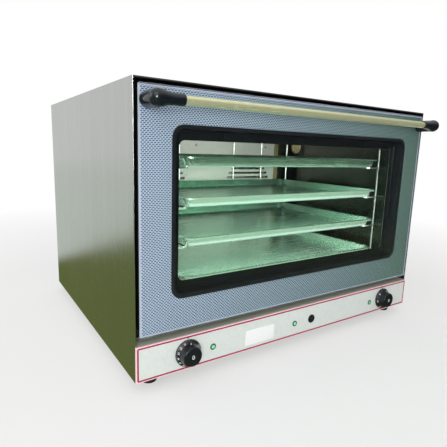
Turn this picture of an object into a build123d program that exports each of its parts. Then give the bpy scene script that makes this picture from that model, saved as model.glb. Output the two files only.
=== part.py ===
"""Convection steam oven with four trays, a drop-down glass door and two fans.

Lengths are millimetres. The origin is the middle of the object's footprint on the surface
it stands on, +X is to the user's right, +Y to the back and +Z up. Inside the script a place
is given as x from the middle, y behind the front of the casing and z above its underside.
"""
import os
from math import cos, radians, sin

from build123d import *

os.makedirs("parts", exist_ok=True)

# Casing
case_width = 834.0
case_height = 549.0
case_depth = 672.0
case_sheet = 1.2
case_hem = 2.4
case_flange = 14.0
foot_height = 23.0
handle_reach = 59.0
rear_cover_depth = 34.0

# Front layout
panel_height = 72.5
panel_proud = 3.0
panel_sheet = 1.2
sill_gap = 15.0
door_side_gap = 9.0
door_top_gap = 10.2
door_pocket = 34.0

# Door
door_proud = 4.0
outer_glass = 5.0
print_thickness = 0.4
print_border = 62.5
window_radius = 25.0
door_sheet = 1.2
door_thickness = 33.0
door_frame_inset = 5.0
door_frame_lip = 8.0
door_frame_radius = 17.0
inner_glass = 4.0
inner_glass_gap = 4.0
inner_glass_lap = 14.0
gasket_width = 12.0
gasket_clearance = 0.4

# Door hinge
hinge_rise = 14.5
hinge_depth = 9.0
hinge_inset = 26.0
hinge_pin_radius = 3.0
hinge_running = 0.05
hinge_ear_radius = 6.0
hinge_ear_thickness = 4.0
hinge_cheek = 4.0
hinge_side_gap = 2.0
hinge_plate = 2.0
hinge_spring_length = 7.0
hinge_spring_wire = 2.0
lug_wall_gap = 2.0
lug_ear_gap = 3.0
lug_bridge_sheet = 3.0

# Door handle
handle_drop = 26.8
handle_bar_radius = 8.0
handle_bar_wall = 1.5
handle_bulb_radius = 15.0
handle_bulb_inset = 15.5
handle_post_radius = 14.5
handle_sleeve_length = 48.0
handle_sleeve_wall = 2.0

# Cavity
cavity_width = 700.0
cavity_height = 385.0
cavity_depth = 498.0
cavity_floor_height = 125.0
cavity_sheet = 1.0
insulation_side = 40.0
insulation_top = 32.0
insulation_bottom = 25.0
insulation_rear = 38.0
insulation_clearance = 0.5
wool_clearance = 2.0

# Fan chamber
baffle_distance = 75.0
baffle_width = 552.0
baffle_height = 345.0
baffle_sheet = 1.2
baffle_return = 14.0
grille_radius = 92.0
grille_slot = 7.0
grille_pitch = 15.0
fan_spacing = 330.0
fan_height = 189.0
fan_radius = 95.0
fan_blade_depth = 42.0
fan_blades = 12
fan_hub_radius = 16.0
fan_sheet = 1.5
fan_blade_root = 30.0
fan_wall_gap = 14.0
shaft_radius = 5.0
shaft_running = 0.05
motor_radius = 42.0
motor_length = 92.0
motor_plate = 110.0
motor_nose_radius = 18.0
motor_hole_gap = 6.0
element_tube_radius = 4.2
element_fan_gap = 12.0
element_pitch = 19.0
element_depth = 41.0
element_start = -84.0
element_turn = 230.0
element_bend = 14.0
element_collar_radius = 5.8
element_collar = 4.0

# Trays and racks
tray_width = 600.0
tray_depth = 400.0
tray_height = 20.0
tray_sheet = 1.5
tray_flare = 8.0
tray_rim = 7.0
tray_lip = 3.5
tray_draft = 21.8
tray_corner_radius = 22.0
tray_levels = 4
tray_pitch = 81.0
tray_first_rim = 51.0
tray_front = 38.0
rack_wire_radius = 2.5
rack_post_gap = 19.0
rack_rail_lap = 20.0
rack_front_inset = 23.0
rack_back_gap = 2.0
rack_bend = 12.0
stop_wire_columns = (-216.0, -100.0, 100.0, 216.0)

# Controls
knob_offset = 309.0
knob_height = 36.0
knob_radius = 28.0
knob_depth = 23.0
knob_gap = 1.0
knob_skirt = 3.0
knob_slope = 5.5
knob_slope_rise = 5.0
knob_grip_taper = 3.0
knob_edge = 3.0
knob_rib_inset = 1.5
knob_rib_width = 9.0
knob_rib_rise = 9.0
knob_wall = 6.0
spindle_radius = 3.0
spindle_running = 0.05
control_body_size = 40.0
control_body_depth = 36.0
control_neck_radius = 5.0
light_columns = (-250.0, -22.0, 256.0)
light_height = 33.0
light_radius = 5.0
light_ring = 1.6
light_wall = 1.0
button_column = 33.0
button_height = 33.5
button_radius = 6.0
button_clearance = 0.3
button_out = 5.0
hole_clearance = 0.3

# Services at the back
inlet_column = -250.0
inlet_height = 45.0
inlet_radius = 13.2
inlet_length = 24.0
gland_column = 250.0
gland_height = 40.0
gland_radius = 12.0
gland_bore = 6.5
vent_column = 322.0
vent_height = 478.0
vent_radius = 15.0
vent_wall = 1.2
vent_length = 28.0
pipe_radius = 4.0
rear_cover_width = 560.0
rear_cover_height = 300.0
rear_cover_centre = 317.0
louvre_rows = 7
louvre_columns = (-165.0, 165.0)
louvre_length = 150.0
louvre_slot = 5.0
louvre_pitch = 16.0

# Lamp
lamp_back = 425.0
lamp_height = 451.0
lamp_radius = 24.0
lamp_depth = 36.0
lamp_lip = 3.0
lamp_wall = 2.0
lamp_glass = 7.0

# Feet and fasteners
foot_inset_x = 42.0
foot_front = 36.0
foot_back = 60.0
foot_top_radius = 20.0
foot_bottom_radius = 15.0
screw_head_radius = 4.0
screw_head_height = 2.4
screw_radius = 2.0
screw_length = 9.0
screw_hole_clearance = 0.3
foot_screw_length = 14.0
foot_screw_roof = 8.0

# Worked out from the sizes above
front_y = handle_reach - (handle_reach + case_depth + rear_cover_depth) / 2
half_width = case_width / 2
door_width = case_width - 2 * door_side_gap
door_bottom = panel_height + sill_gap
door_height = case_height - door_bottom - door_top_gap
door_middle = door_bottom + door_height / 2
door_back = door_thickness - door_proud
film_front = outer_glass - door_proud
frame_front = film_front + print_thickness
frame_back = door_back - door_sheet
window_width = door_width - 2 * print_border
window_height = door_height - 2 * print_border
door_frame_width = door_width - 2 * door_frame_inset
door_frame_height = door_height - 2 * door_frame_inset
door_opening_width = window_width - 2 * door_frame_lip
door_opening_height = window_height - 2 * door_frame_lip
pane_width = door_opening_width - 2 * (door_sheet + inner_glass_gap)
pane_height = door_opening_height - 2 * (door_sheet + inner_glass_gap)
cavity_top = cavity_floor_height + cavity_height
cavity_middle = cavity_floor_height + cavity_height / 2
cavity_front = door_pocket + case_sheet
cavity_back = cavity_front + cavity_depth
half_cavity = cavity_width / 2
baffle_y = cavity_back - baffle_distance
fan_z = cavity_floor_height + fan_height
fan_columns = (-fan_spacing / 2, fan_spacing / 2)
element_inner_radius = fan_radius + element_fan_gap
element_outer_radius = element_inner_radius + element_pitch
element_y = baffle_y + element_depth
duct_radius = vent_radius - vent_wall
motor_front = cavity_back + cavity_sheet + insulation_rear + insulation_clearance
hinge_z = door_bottom + hinge_rise
hinge_x = door_width / 2 - hinge_inset
handle_y = handle_bulb_radius - handle_reach
handle_z = door_bottom + door_height - handle_drop
panel_back = panel_sheet - panel_proud
pan_floor = 2 * case_sheet
foot_places = [
    (side * (half_width - foot_inset_x), y)
    for side in (-1, 1)
    for y in (foot_front, case_depth - foot_back)
]
panel_screws = [
    (side * (half_width - 2 * case_flange), z)
    for side in (-1, 1)
    for z in (40.0, case_height / 2, case_height - 20)
]
cover_screws = [
    (across * rear_cover_width, rear_cover_centre + side * (rear_cover_height + case_flange) / 2)
    for across in (-0.45, -0.15, 0.15, 0.45)
    for side in (-1, 1)
]
baffle_screws = [(x, cavity_floor_height + baffle_height - 24) for x in (-235.0, -40.0, 235.0)]


def facing(x, y, z):
    """A plane seen from the front of the oven, with its normal towards the user."""
    return Plane(origin=(x, front_y + y, foot_height + z), x_dir=(1, 0, 0), z_dir=(0, -1, 0))


def level(x, y, z):
    """A horizontal plane with its normal upwards."""
    return Plane(origin=(x, front_y + y, foot_height + z), x_dir=(1, 0, 0), z_dir=(0, 0, 1))


def backing(x, y, z):
    """A plane seen from behind the oven, with its normal away from the user."""
    return Plane(origin=(x, front_y + y, foot_height + z), x_dir=(-1, 0, 0), z_dir=(0, 1, 0))


def sideways(x, y, z):
    """An upright plane with its normal to the right and its own x towards the back."""
    return Plane(origin=(x, front_y + y, foot_height + z), x_dir=(0, 1, 0), z_dir=(1, 0, 0))


def save(builder, name):
    """Label a finished piece and write it to its own file."""
    builder.part.label = name
    export_step(builder.part, f"parts/{name}.step")


def screw(plane, length=screw_length):
    """A pan head screw whose head stands on the plane and whose shank goes behind it."""
    with BuildPart() as fastener:
        with BuildSketch(plane):
            Circle(screw_head_radius)
        extrude(amount=screw_head_height)
        fillet(fastener.edges().filter_by(GeomType.CIRCLE).sort_by(SortBy.DISTANCE).last, 1.2)
        with BuildSketch(plane):
            Circle(screw_radius)
        extrude(amount=-length)
    return fastener.part


def ring_point(radius, angle):
    """A point on a circle in a ring's own plane."""
    return (radius * cos(radians(angle)), radius * sin(radians(angle)))


def element_leg_place(radius):
    """Where a leg crosses the back, measured from the fan's axis."""
    x, z = ring_point(radius, element_start)
    return (x + element_bend * sin(radians(element_start)), z - element_bend * cos(radians(element_start)))


# Casing side panels, each one sheet with flanges returned under the base and behind the back
for side, name in ((-1, "side_panel_left"), (1, "side_panel_right")):
    outer_x = side * half_width
    with BuildPart() as panel:
        with BuildSketch(level(side * (half_width - case_sheet / 2), case_depth / 2, 0)):
            Rectangle(case_sheet, case_depth)
        extrude(amount=case_height)
        with BuildSketch(level(side * (half_width - case_flange / 2), case_depth - case_sheet / 2, 0)):
            Rectangle(case_flange, case_sheet)
        extrude(amount=case_height)
        with BuildSketch(level(side * (half_width - case_flange / 2), case_depth / 2, 0)):
            Rectangle(case_flange, case_depth)
        extrude(amount=case_sheet)
        vertical = panel.edges().filter_by(Axis.Z).filter_by_position(Axis.X, outer_x - 0.1, outer_x + 0.1)
        fillet(vertical, case_sheet * 0.8)
    save(panel, name)

# Top panel, hemmed at the front, with flanges down inside the side panels and over the back
top_width = case_width - 2 * case_sheet
with BuildPart() as top_panel:
    with BuildSketch(level(0, case_depth / 2, case_height - case_sheet)):
        Rectangle(top_width, case_depth - case_sheet * 2)
    extrude(amount=case_sheet)
    with BuildSketch(level(0, case_sheet + case_flange / 2, case_height - case_hem)):
        Rectangle(top_width - 2 * case_hem, case_flange)
    extrude(amount=case_hem - case_sheet)
    flange_front = cavity_front + hole_clearance
    flange_depth = case_depth - case_flange - flange_front
    for side in (-1, 1):
        flange_x = side * (top_width - case_sheet) / 2
        with BuildSketch(level(flange_x, flange_front + flange_depth / 2, case_height - case_sheet)):
            Rectangle(case_sheet, flange_depth)
        extrude(amount=-case_flange)
save(top_panel, "top_panel")

# Base pan with upturned sides and rows of cooling slots
pan_width = case_width - 2 * (case_sheet + hole_clearance)
pan_depth = case_depth - 2 * (case_sheet + hole_clearance)
pan_slot_length = 90.0
with BuildPart() as base_pan:
    with BuildSketch(level(0, case_depth / 2, case_sheet)):
        Rectangle(pan_width, pan_depth)
    extrude(amount=case_flange)
    offset(amount=-case_sheet, openings=base_pan.faces().sort_by(Axis.Z)[-1])
    with BuildSketch(level(0, case_depth / 2, 0)):
        with GridLocations(140, 26, 4, 6):
            SlotOverall(pan_slot_length, 6)
    extrude(amount=3 * case_sheet, mode=Mode.SUBTRACT)
    with BuildSketch(level(0, 0, 0)):
        with Locations(*foot_places):
            Circle(screw_radius + screw_hole_clearance)
    extrude(amount=3 * case_sheet, mode=Mode.SUBTRACT)
save(base_pan, "base_pan")

# Rear panel with holes for both motors, the water inlet, the cable and the steam outlet
rear_width = case_width - 2 * (case_flange + hole_clearance)
rear_height = case_height - 2 * (case_sheet + hole_clearance)
with BuildPart() as rear_panel:
    with BuildSketch(facing(0, case_depth - case_sheet, case_height / 2)):
        Rectangle(rear_width, rear_height)
        for x in fan_columns:
            with Locations((x, fan_z - case_height / 2)):
                Circle(motor_radius + motor_hole_gap, mode=Mode.SUBTRACT)
        with Locations((inlet_column, inlet_height - case_height / 2)):
            Circle(inlet_radius + hole_clearance, mode=Mode.SUBTRACT)
        with Locations((gland_column, gland_height - case_height / 2)):
            Circle(gland_radius + hole_clearance, mode=Mode.SUBTRACT)
        with Locations((vent_column, vent_height - case_height / 2)):
            Circle(duct_radius + hole_clearance, mode=Mode.SUBTRACT)
        for x, z in panel_screws + cover_screws:
            with Locations((x, z - case_height / 2)):
                Circle(screw_radius + screw_hole_clearance, mode=Mode.SUBTRACT)
    extrude(amount=-case_sheet)
save(rear_panel, "rear_panel")

# Rear cover, a pressed pan with rows of louvres over the two motors
cover_wall_angle = 8.0
with BuildPart() as rear_cover:
    with BuildSketch(facing(0, case_depth, rear_cover_centre)):
        RectangleRounded(rear_cover_width, rear_cover_height, 14)
    extrude(amount=-rear_cover_depth, taper=cover_wall_angle)
    fillet(rear_cover.faces().sort_by(Axis.Y)[-1].edges(), 4)
    with BuildSketch(facing(0, case_depth, rear_cover_centre)):
        RectangleRounded(rear_cover_width - 2 * case_sheet, rear_cover_height - 2 * case_sheet, 13)
    extrude(amount=case_sheet - rear_cover_depth, taper=cover_wall_angle, mode=Mode.SUBTRACT)
    with BuildSketch(facing(0, case_depth + case_sheet, rear_cover_centre)):
        Rectangle(rear_cover_width + 2 * case_flange, rear_cover_height + 2 * case_flange)
        RectangleRounded(rear_cover_width - 2 * case_sheet, rear_cover_height - 2 * case_sheet, 13,
                         mode=Mode.SUBTRACT)
        for x, z in cover_screws:
            with Locations((x, z - rear_cover_centre)):
                Circle(screw_radius + screw_hole_clearance, mode=Mode.SUBTRACT)
    extrude(amount=case_sheet)
    with BuildSketch(facing(0, case_depth + rear_cover_depth + 1, rear_cover_centre)):
        for x in louvre_columns:
            with Locations((x, 0)):
                with GridLocations(louvre_length, louvre_pitch, 1, louvre_rows):
                    SlotOverall(louvre_length, louvre_slot)
    extrude(amount=3 * case_sheet + 1, mode=Mode.SUBTRACT)
save(rear_cover, "rear_cover")

# Front frame, one pressing round the cavity mouth with the sill in front of its lower edge
frame_width = case_width - 2 * (case_sheet + hole_clearance)
frame_top = case_height - case_hem - hole_clearance
with BuildPart() as front_frame:
    with BuildSketch(facing(0, door_pocket, 0)):
        with Locations((0, (panel_height + frame_top) / 2)):
            Rectangle(frame_width, frame_top - panel_height)
        with Locations((0, cavity_middle)):
            RectangleRounded(cavity_width, cavity_height, 6, mode=Mode.SUBTRACT)
    extrude(amount=-case_sheet)
    with BuildSketch(level(0, door_pocket / 2 + case_sheet / 2, panel_height)):
        Rectangle(frame_width, door_pocket + case_sheet)
    extrude(amount=-case_sheet)
save(front_frame, "front_frame")

# Control panel, a shallow pressed tray in front of the casing with holes for what passes through
with BuildPart() as control_panel:
    with BuildSketch(facing(0, 0, panel_height / 2)):
        Rectangle(case_width, panel_height)
    extrude(amount=panel_proud)
    fillet(control_panel.faces().sort_by(Axis.Y)[0].edges(), 1.0)
    offset(amount=-panel_sheet, openings=control_panel.faces().sort_by(Axis.Y)[-1])
    with BuildSketch(facing(0, 0, 0)):
        for x in (-knob_offset, knob_offset):
            with Locations((x, knob_height)):
                Circle(control_neck_radius + hole_clearance)
        for x in light_columns:
            with Locations((x, light_height)):
                Circle(light_radius + hole_clearance)
        with Locations((button_column, button_height)):
            Circle(button_radius + button_clearance + light_ring + hole_clearance)
    extrude(amount=2 * panel_proud, mode=Mode.SUBTRACT)
save(control_panel, "control_panel")

# Cavity liner, five sheets: floor, ceiling, two walls and the back with its service holes
for name, z in (("cavity_floor", cavity_floor_height - cavity_sheet), ("cavity_ceiling", cavity_top)):
    with BuildPart() as sheet:
        with BuildSketch(level(0, cavity_front + cavity_depth / 2, z)):
            Rectangle(cavity_width + 2 * cavity_sheet, cavity_depth)
        extrude(amount=cavity_sheet)
    save(sheet, name)

for side, name in ((-1, "cavity_wall_left"), (1, "cavity_wall_right")):
    with BuildPart() as wall:
        with BuildSketch(sideways(side * half_cavity, cavity_front, cavity_middle)):
            with Locations((cavity_depth / 2, 0)):
                Rectangle(cavity_depth, cavity_height)
            if side > 0:
                with Locations((lamp_back - cavity_front, lamp_height - cavity_middle)):
                    Circle(lamp_radius - lamp_lip, mode=Mode.SUBTRACT)
        extrude(amount=side * cavity_sheet)
    save(wall, name)

with BuildPart() as cavity_back_sheet:
    with BuildSketch(facing(0, cavity_back, 0)):
        with Locations((0, cavity_middle)):
            Rectangle(cavity_width + 2 * cavity_sheet, cavity_height + 2 * cavity_sheet)
        for x in fan_columns:
            with Locations((x, fan_z)):
                Circle(shaft_radius + 2, mode=Mode.SUBTRACT)
            for radius in (element_inner_radius, element_outer_radius):
                leg_x, leg_z = element_leg_place(radius)
                with Locations((x + leg_x, fan_z + leg_z)):
                    Circle(element_tube_radius + hole_clearance, mode=Mode.SUBTRACT)
        with Locations((0, fan_z)):
            Circle(pipe_radius + hole_clearance, mode=Mode.SUBTRACT)
        with Locations((vent_column, vent_height)):
            Circle(duct_radius - vent_wall, mode=Mode.SUBTRACT)
    extrude(amount=-cavity_sheet)
save(cavity_back_sheet, "cavity_back")

# Mineral wool round the cavity: top, bottom, two sides and back
wool_front = cavity_front + insulation_clearance
wool_depth = cavity_depth - 2 * insulation_clearance
wool_x = half_cavity + cavity_sheet
wool_bottom = cavity_floor_height - cavity_sheet
wool_top = cavity_top + cavity_sheet
with BuildPart() as insulation:
    for z, thickness in ((wool_top, insulation_top), (wool_bottom, -insulation_bottom)):
        with BuildSketch(level(0, wool_front + wool_depth / 2, z)):
            Rectangle(2 * wool_x, wool_depth)
        extrude(amount=thickness)
    for side in (-1, 1):
        with BuildSketch(sideways(side * wool_x, wool_front, 0)):
            with Locations((wool_depth / 2, (wool_bottom + wool_top) / 2)):
                Rectangle(wool_depth, wool_top - wool_bottom - 2 * insulation_clearance)
            if side > 0:
                with Locations((lamp_back - wool_front, lamp_height)):
                    Circle(lamp_radius + hole_clearance, mode=Mode.SUBTRACT)
        extrude(amount=side * insulation_side)
    with BuildSketch(facing(0, cavity_back + cavity_sheet, 0)):
        with Locations((0, (wool_bottom + wool_top) / 2)):
            Rectangle(2 * wool_x, wool_top - wool_bottom)
        for x in fan_columns:
            with Locations((x, fan_z)):
                Circle(motor_nose_radius + wool_clearance, mode=Mode.SUBTRACT)
            for radius in (element_inner_radius, element_outer_radius):
                leg_x, leg_z = element_leg_place(radius)
                with Locations((x + leg_x, fan_z + leg_z)):
                    Circle(element_tube_radius + wool_clearance, mode=Mode.SUBTRACT)
        with Locations((0, fan_z)):
            Circle(pipe_radius + wool_clearance, mode=Mode.SUBTRACT)
        with Locations((vent_column, vent_height)):
            Circle(duct_radius + wool_clearance, mode=Mode.SUBTRACT)
    extrude(amount=-insulation_rear)
save(insulation, "insulation")

# Fan baffle, a removable guard plate with an intake grille in front of each fan
with BuildPart() as fan_baffle:
    with BuildSketch(facing(0, baffle_y, cavity_floor_height)):
        with Locations((0, baffle_height / 2)):
            Rectangle(baffle_width, baffle_height)
        for x in fan_columns:
            rows = int(grille_radius // grille_pitch)
            for row in range(-rows, rows + 1):
                rise = row * grille_pitch
                chord = 2 * (grille_radius**2 - rise**2) ** 0.5
                with Locations((x, fan_height + rise)):
                    SlotOverall(max(chord, 4 * grille_slot), grille_slot, mode=Mode.SUBTRACT)
        for x, z in baffle_screws:
            with Locations((x, z - cavity_floor_height)):
                Circle(screw_radius + screw_hole_clearance, mode=Mode.SUBTRACT)
    extrude(amount=-baffle_sheet)
    for side in (-1, 1):
        with BuildSketch(level(side * (baffle_width - baffle_sheet) / 2, baffle_y + baffle_return / 2,
                               cavity_floor_height)):
            Rectangle(baffle_sheet, baffle_return)
        extrude(amount=baffle_height)
    with BuildSketch(facing(0, baffle_y, cavity_floor_height + baffle_height - baffle_sheet / 2)):
        Rectangle(baffle_width, baffle_sheet)
    extrude(amount=-baffle_return)
save(fan_baffle, "fan_baffle")

# Upright wires in front of the baffle that stop the trays
stop_wire_y = baffle_y - rack_wire_radius - 1
with BuildPart() as stop_wires:
    for x in stop_wire_columns:
        with BuildSketch(level(x, stop_wire_y, cavity_floor_height)):
            Circle(rack_wire_radius)
        extrude(amount=cavity_height)
save(stop_wires, "tray_stop_wires")

# Tray racks, bent wire: two posts, and at each level a rail bowed in under the tray
tray_rims = [cavity_floor_height + tray_first_rim + i * tray_pitch for i in range(tray_levels)]
post_x = tray_width / 2 + rack_post_gap
rail_x = tray_width / 2 - rack_rail_lap
rack_front = tray_front + rack_front_inset
rack_back = tray_front + tray_depth + rack_back_gap
with BuildPart() as side_racks:
    for side in (-1, 1):
        for y in (rack_front, rack_back):
            with BuildSketch(level(side * post_x, y, cavity_floor_height)):
                Circle(rack_wire_radius)
            extrude(amount=cavity_height)
        for rim in tray_rims:
            z = foot_height + rim - tray_height - rack_wire_radius
            with BuildLine() as rail:
                FilletPolyline(
                    (side * half_cavity, front_y + rack_front, z),
                    (side * rail_x, front_y + rack_front, z),
                    (side * rail_x, front_y + rack_back, z),
                    (side * half_cavity, front_y + rack_back, z),
                    radius=rack_bend,
                )
            with BuildSketch(Plane(rail.line @ 0, z_dir=rail.line % 0)):
                Circle(rack_wire_radius)
            sweep(path=rail.line)
save(side_racks, "side_racks")

# Ring elements, each a tube looped round its fan and back, with both ends out through the back
with BuildPart() as elements:
    for x in fan_columns:
        ring = facing(x, element_y, fan_z)
        leg_end = front_y + motor_front - element_bend
        with BuildLine(ring):
            inner = CenterArc((0, 0), element_inner_radius, element_start, element_turn - element_start)
            outer = CenterArc((0, 0), element_outer_radius, element_turn, element_start - element_turn)
            turn = TangentArc(inner @ 1, outer @ 0, tangent=inner % 1)
        edges = [inner, turn, outer]
        for arc, end, out in ((inner, 0, 1), (outer, 1, -1)):
            start = arc @ end
            away = (arc % end) * (-out)
            corner = start + away * element_bend + Vector(0, element_bend, 0)
            edges.append(Edge.make_tangent_arc(start, away, corner))
            edges.append(Edge.make_line(corner, Vector(corner.X, leg_end, corner.Z)))
        tube = Wire(edges)
        with BuildSketch(Plane(tube @ 0, z_dir=tube % 0)):
            Circle(element_tube_radius)
        sweep(path=tube, transition=Transition.RIGHT)
        for radius in (element_inner_radius, element_outer_radius):
            leg_x, leg_z = element_leg_place(radius)
            with BuildSketch(facing(x + leg_x, cavity_back + cavity_sheet, fan_z + leg_z)):
                Circle(element_collar_radius)
            extrude(amount=-element_collar)
save(elements, "heating_elements")

# Two fan motors with a square mounting plate, a round can and a bored shaft housing
motor_nose = insulation_rear + insulation_clearance
with BuildPart() as motors:
    for x in fan_columns:
        with BuildSketch(facing(x, motor_front, fan_z)):
            RectangleRounded(motor_plate, motor_plate, 10)
            with GridLocations(motor_plate - 20, motor_plate - 20, 2, 2):
                Circle(2.6, mode=Mode.SUBTRACT)
        extrude(amount=-3)
        with BuildSketch(facing(x, motor_front + 3, fan_z)):
            Circle(motor_radius)
        extrude(amount=-motor_length)
        with BuildSketch(facing(x, motor_front, fan_z)):
            Circle(motor_nose_radius)
        extrude(amount=motor_nose)
        with BuildSketch(facing(x, motor_front - motor_nose, fan_z)):
            Circle(shaft_radius + shaft_running)
        extrude(amount=-(motor_nose + motor_length * 0.6), mode=Mode.SUBTRACT)
    fillet(motors.faces().filter_by(Axis.Y).group_by(Axis.Y)[-1].edges(), 5)
save(motors, "fan_motors")

# Fan wheels: a back disc, radial blades bent at their root, a front ring and a bored hub
fan_back = cavity_back - fan_wall_gap
for side_name, x in zip(("left", "right"), fan_columns):
    with BuildPart() as wheel:
        with BuildSketch(facing(x, fan_back, fan_z)):
            Circle(fan_radius)
        extrude(amount=fan_sheet)
        with BuildSketch(facing(x, fan_back - fan_sheet - fan_blade_depth, fan_z)):
            Circle(fan_radius)
            Circle(fan_radius - 12, mode=Mode.SUBTRACT)
        extrude(amount=-fan_sheet)
        with BuildSketch(facing(x, fan_back - fan_sheet, fan_z)):
            with PolarLocations((fan_blade_root + fan_radius) / 2, fan_blades):
                Rectangle(fan_radius - fan_blade_root - 0.5, fan_sheet, rotation=12)
        extrude(amount=fan_blade_depth)
        with BuildSketch(facing(x, fan_back - fan_sheet, fan_z)):
            Circle(fan_hub_radius)
        extrude(amount=24)
        with BuildSketch(facing(x, fan_back, fan_z)):
            Circle(shaft_radius)
        extrude(amount=26 + fan_sheet, mode=Mode.SUBTRACT)
    save(wheel, f"fan_wheel_{side_name}")
    with BuildPart() as shaft:
        with BuildSketch(facing(x, fan_back - fan_sheet - 30, fan_z)):
            Circle(shaft_radius)
        extrude(amount=-(motor_front + motor_length * 0.5 - fan_back + fan_sheet + 30))
        chamfer(shaft.faces().sort_by(Axis.Y)[0].edges(), 1)
    save(shaft, f"fan_shaft_{side_name}")

# Lamp in the right wall: a flanged glass lens in front of a socket housing
lamp_plane = sideways(half_cavity, lamp_back, lamp_height)
with BuildPart() as lamp_lens:
    with BuildSketch(Plane(lamp_plane.origin, x_dir=lamp_plane.x_dir, z_dir=-lamp_plane.z_dir)):
        Circle(lamp_radius)
    extrude(amount=lamp_glass)
    fillet(lamp_lens.faces().sort_by(Axis.X)[0].edges(), 5)
save(lamp_lens, "lamp_lens")

with BuildPart() as lamp_housing:
    with BuildSketch(lamp_plane):
        Circle(lamp_radius - lamp_lip - hole_clearance)
    extrude(amount=lamp_depth)
    with BuildSketch(lamp_plane):
        Circle(lamp_radius - lamp_lip - lamp_wall)
    extrude(amount=lamp_depth - 8, mode=Mode.SUBTRACT)
    with BuildSketch(lamp_plane.offset(lamp_depth)):
        Circle(10)
    extrude(amount=9)
save(lamp_housing, "lamp_housing")

# Door seal, a soft ring on the front frame round the cavity mouth
seal_front = door_back + gasket_clearance
with BuildPart() as door_gasket:
    with BuildSketch(facing(0, door_pocket, cavity_middle)):
        RectangleRounded(cavity_width + 8 + 2 * gasket_width, cavity_height + 8 + 2 * gasket_width, 16)
        RectangleRounded(cavity_width + 8, cavity_height + 8, 8, mode=Mode.SUBTRACT)
    extrude(amount=door_pocket - seal_front)
    chamfer(door_gasket.faces().sort_by(Axis.Y)[0].edges(), 1.5)
save(door_gasket, "door_gasket")

# Hinge brackets on the front frame, each a foot plate with a bored ear
with BuildPart() as hinge_brackets:
    for side in (-1, 1):
        x = side * hinge_x
        with BuildSketch(facing(x, door_pocket, hinge_z)):
            Rectangle(28, 22)
        extrude(amount=hinge_plate)
        with BuildSketch(sideways(x - hinge_ear_thickness / 2, hinge_depth, hinge_z)):
            Circle(hinge_ear_radius)
            with Locations(((door_pocket - hinge_depth) / 2, 0)):
                Rectangle(door_pocket - hinge_depth, 2 * hinge_ear_radius)
            Circle(hinge_pin_radius + hinge_running, mode=Mode.SUBTRACT)
        extrude(amount=hinge_ear_thickness)
save(hinge_brackets, "hinge_brackets")

# Hinge lugs in the door's lower corners, each two cheeks and a bridge over the ear
cheek_offset = hinge_ear_thickness / 2 + hinge_side_gap + hinge_cheek / 2
lug_front = frame_front + door_sheet - hinge_depth
lug_reach = frame_back - lug_wall_gap - hinge_depth
lug_middle = (lug_reach + lug_front) / 2
lug_bridge = hinge_ear_radius + lug_ear_gap
with BuildPart() as hinge_lugs:
    for side in (-1, 1):
        for offset_x in (-cheek_offset, cheek_offset):
            with BuildSketch(sideways(side * hinge_x + offset_x - hinge_cheek / 2, hinge_depth, hinge_z)):
                with Locations((lug_middle, 2)):
                    Rectangle(lug_reach - lug_front, 2 * hinge_ear_radius + 4)
                Circle(hinge_pin_radius, mode=Mode.SUBTRACT)
            extrude(amount=hinge_cheek)
        with BuildSketch(level(side * hinge_x, hinge_depth, hinge_z + lug_bridge)):
            with Locations((0, lug_middle)):
                Rectangle(2 * cheek_offset + hinge_cheek, lug_reach - lug_front)
        extrude(amount=lug_bridge_sheet)
save(hinge_lugs, "hinge_lugs")

# Hinge pins, fixed in the lugs, each with a head and room for its spring outside the lug
pin_head = 1.8
pin_tail = hinge_spring_length + 3
pin_length = 2 * cheek_offset + hinge_cheek + 2 + pin_tail
with BuildPart() as hinge_pins:
    for side in (-1, 1):
        inner_end = side * (hinge_x - cheek_offset - hinge_cheek / 2 - 2)
        with BuildSketch(sideways(inner_end, hinge_depth, hinge_z)):
            Circle(hinge_pin_radius)
        extrude(amount=side * pin_length)
        with BuildSketch(sideways(inner_end, hinge_depth, hinge_z)):
            Circle(hinge_pin_radius + 1.5)
        extrude(amount=side * pin_head)
save(hinge_pins, "hinge_pins")

with BuildPart() as hinge_springs:
    for side in (-1, 1):
        outer_cheek = side * (hinge_x + cheek_offset + hinge_cheek / 2)
        with BuildSketch(sideways(outer_cheek, hinge_depth, hinge_z)):
            Circle(hinge_pin_radius + 0.2 + hinge_spring_wire)
            Circle(hinge_pin_radius + 0.2, mode=Mode.SUBTRACT)
        extrude(amount=side * hinge_spring_length)
save(hinge_springs, "hinge_springs")

# Door outer glass
with BuildPart() as outer_pane:
    with BuildSketch(facing(0, film_front, door_middle)):
        RectangleRounded(door_width, door_height, 3)
    extrude(amount=outer_glass)
    chamfer(outer_pane.faces().sort_by(Axis.Y)[0].edges(), 0.8)
save(outer_pane, "door_outer_glass")

# Printed border on the back of the outer glass, with the rounded window left clear
with BuildPart() as border:
    with BuildSketch(facing(0, frame_front, door_middle)):
        RectangleRounded(door_width - 3, door_height - 3, 3)
        RectangleRounded(window_width, window_height, window_radius, mode=Mode.SUBTRACT)
    extrude(amount=print_thickness)
save(border, "door_border_print")

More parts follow.
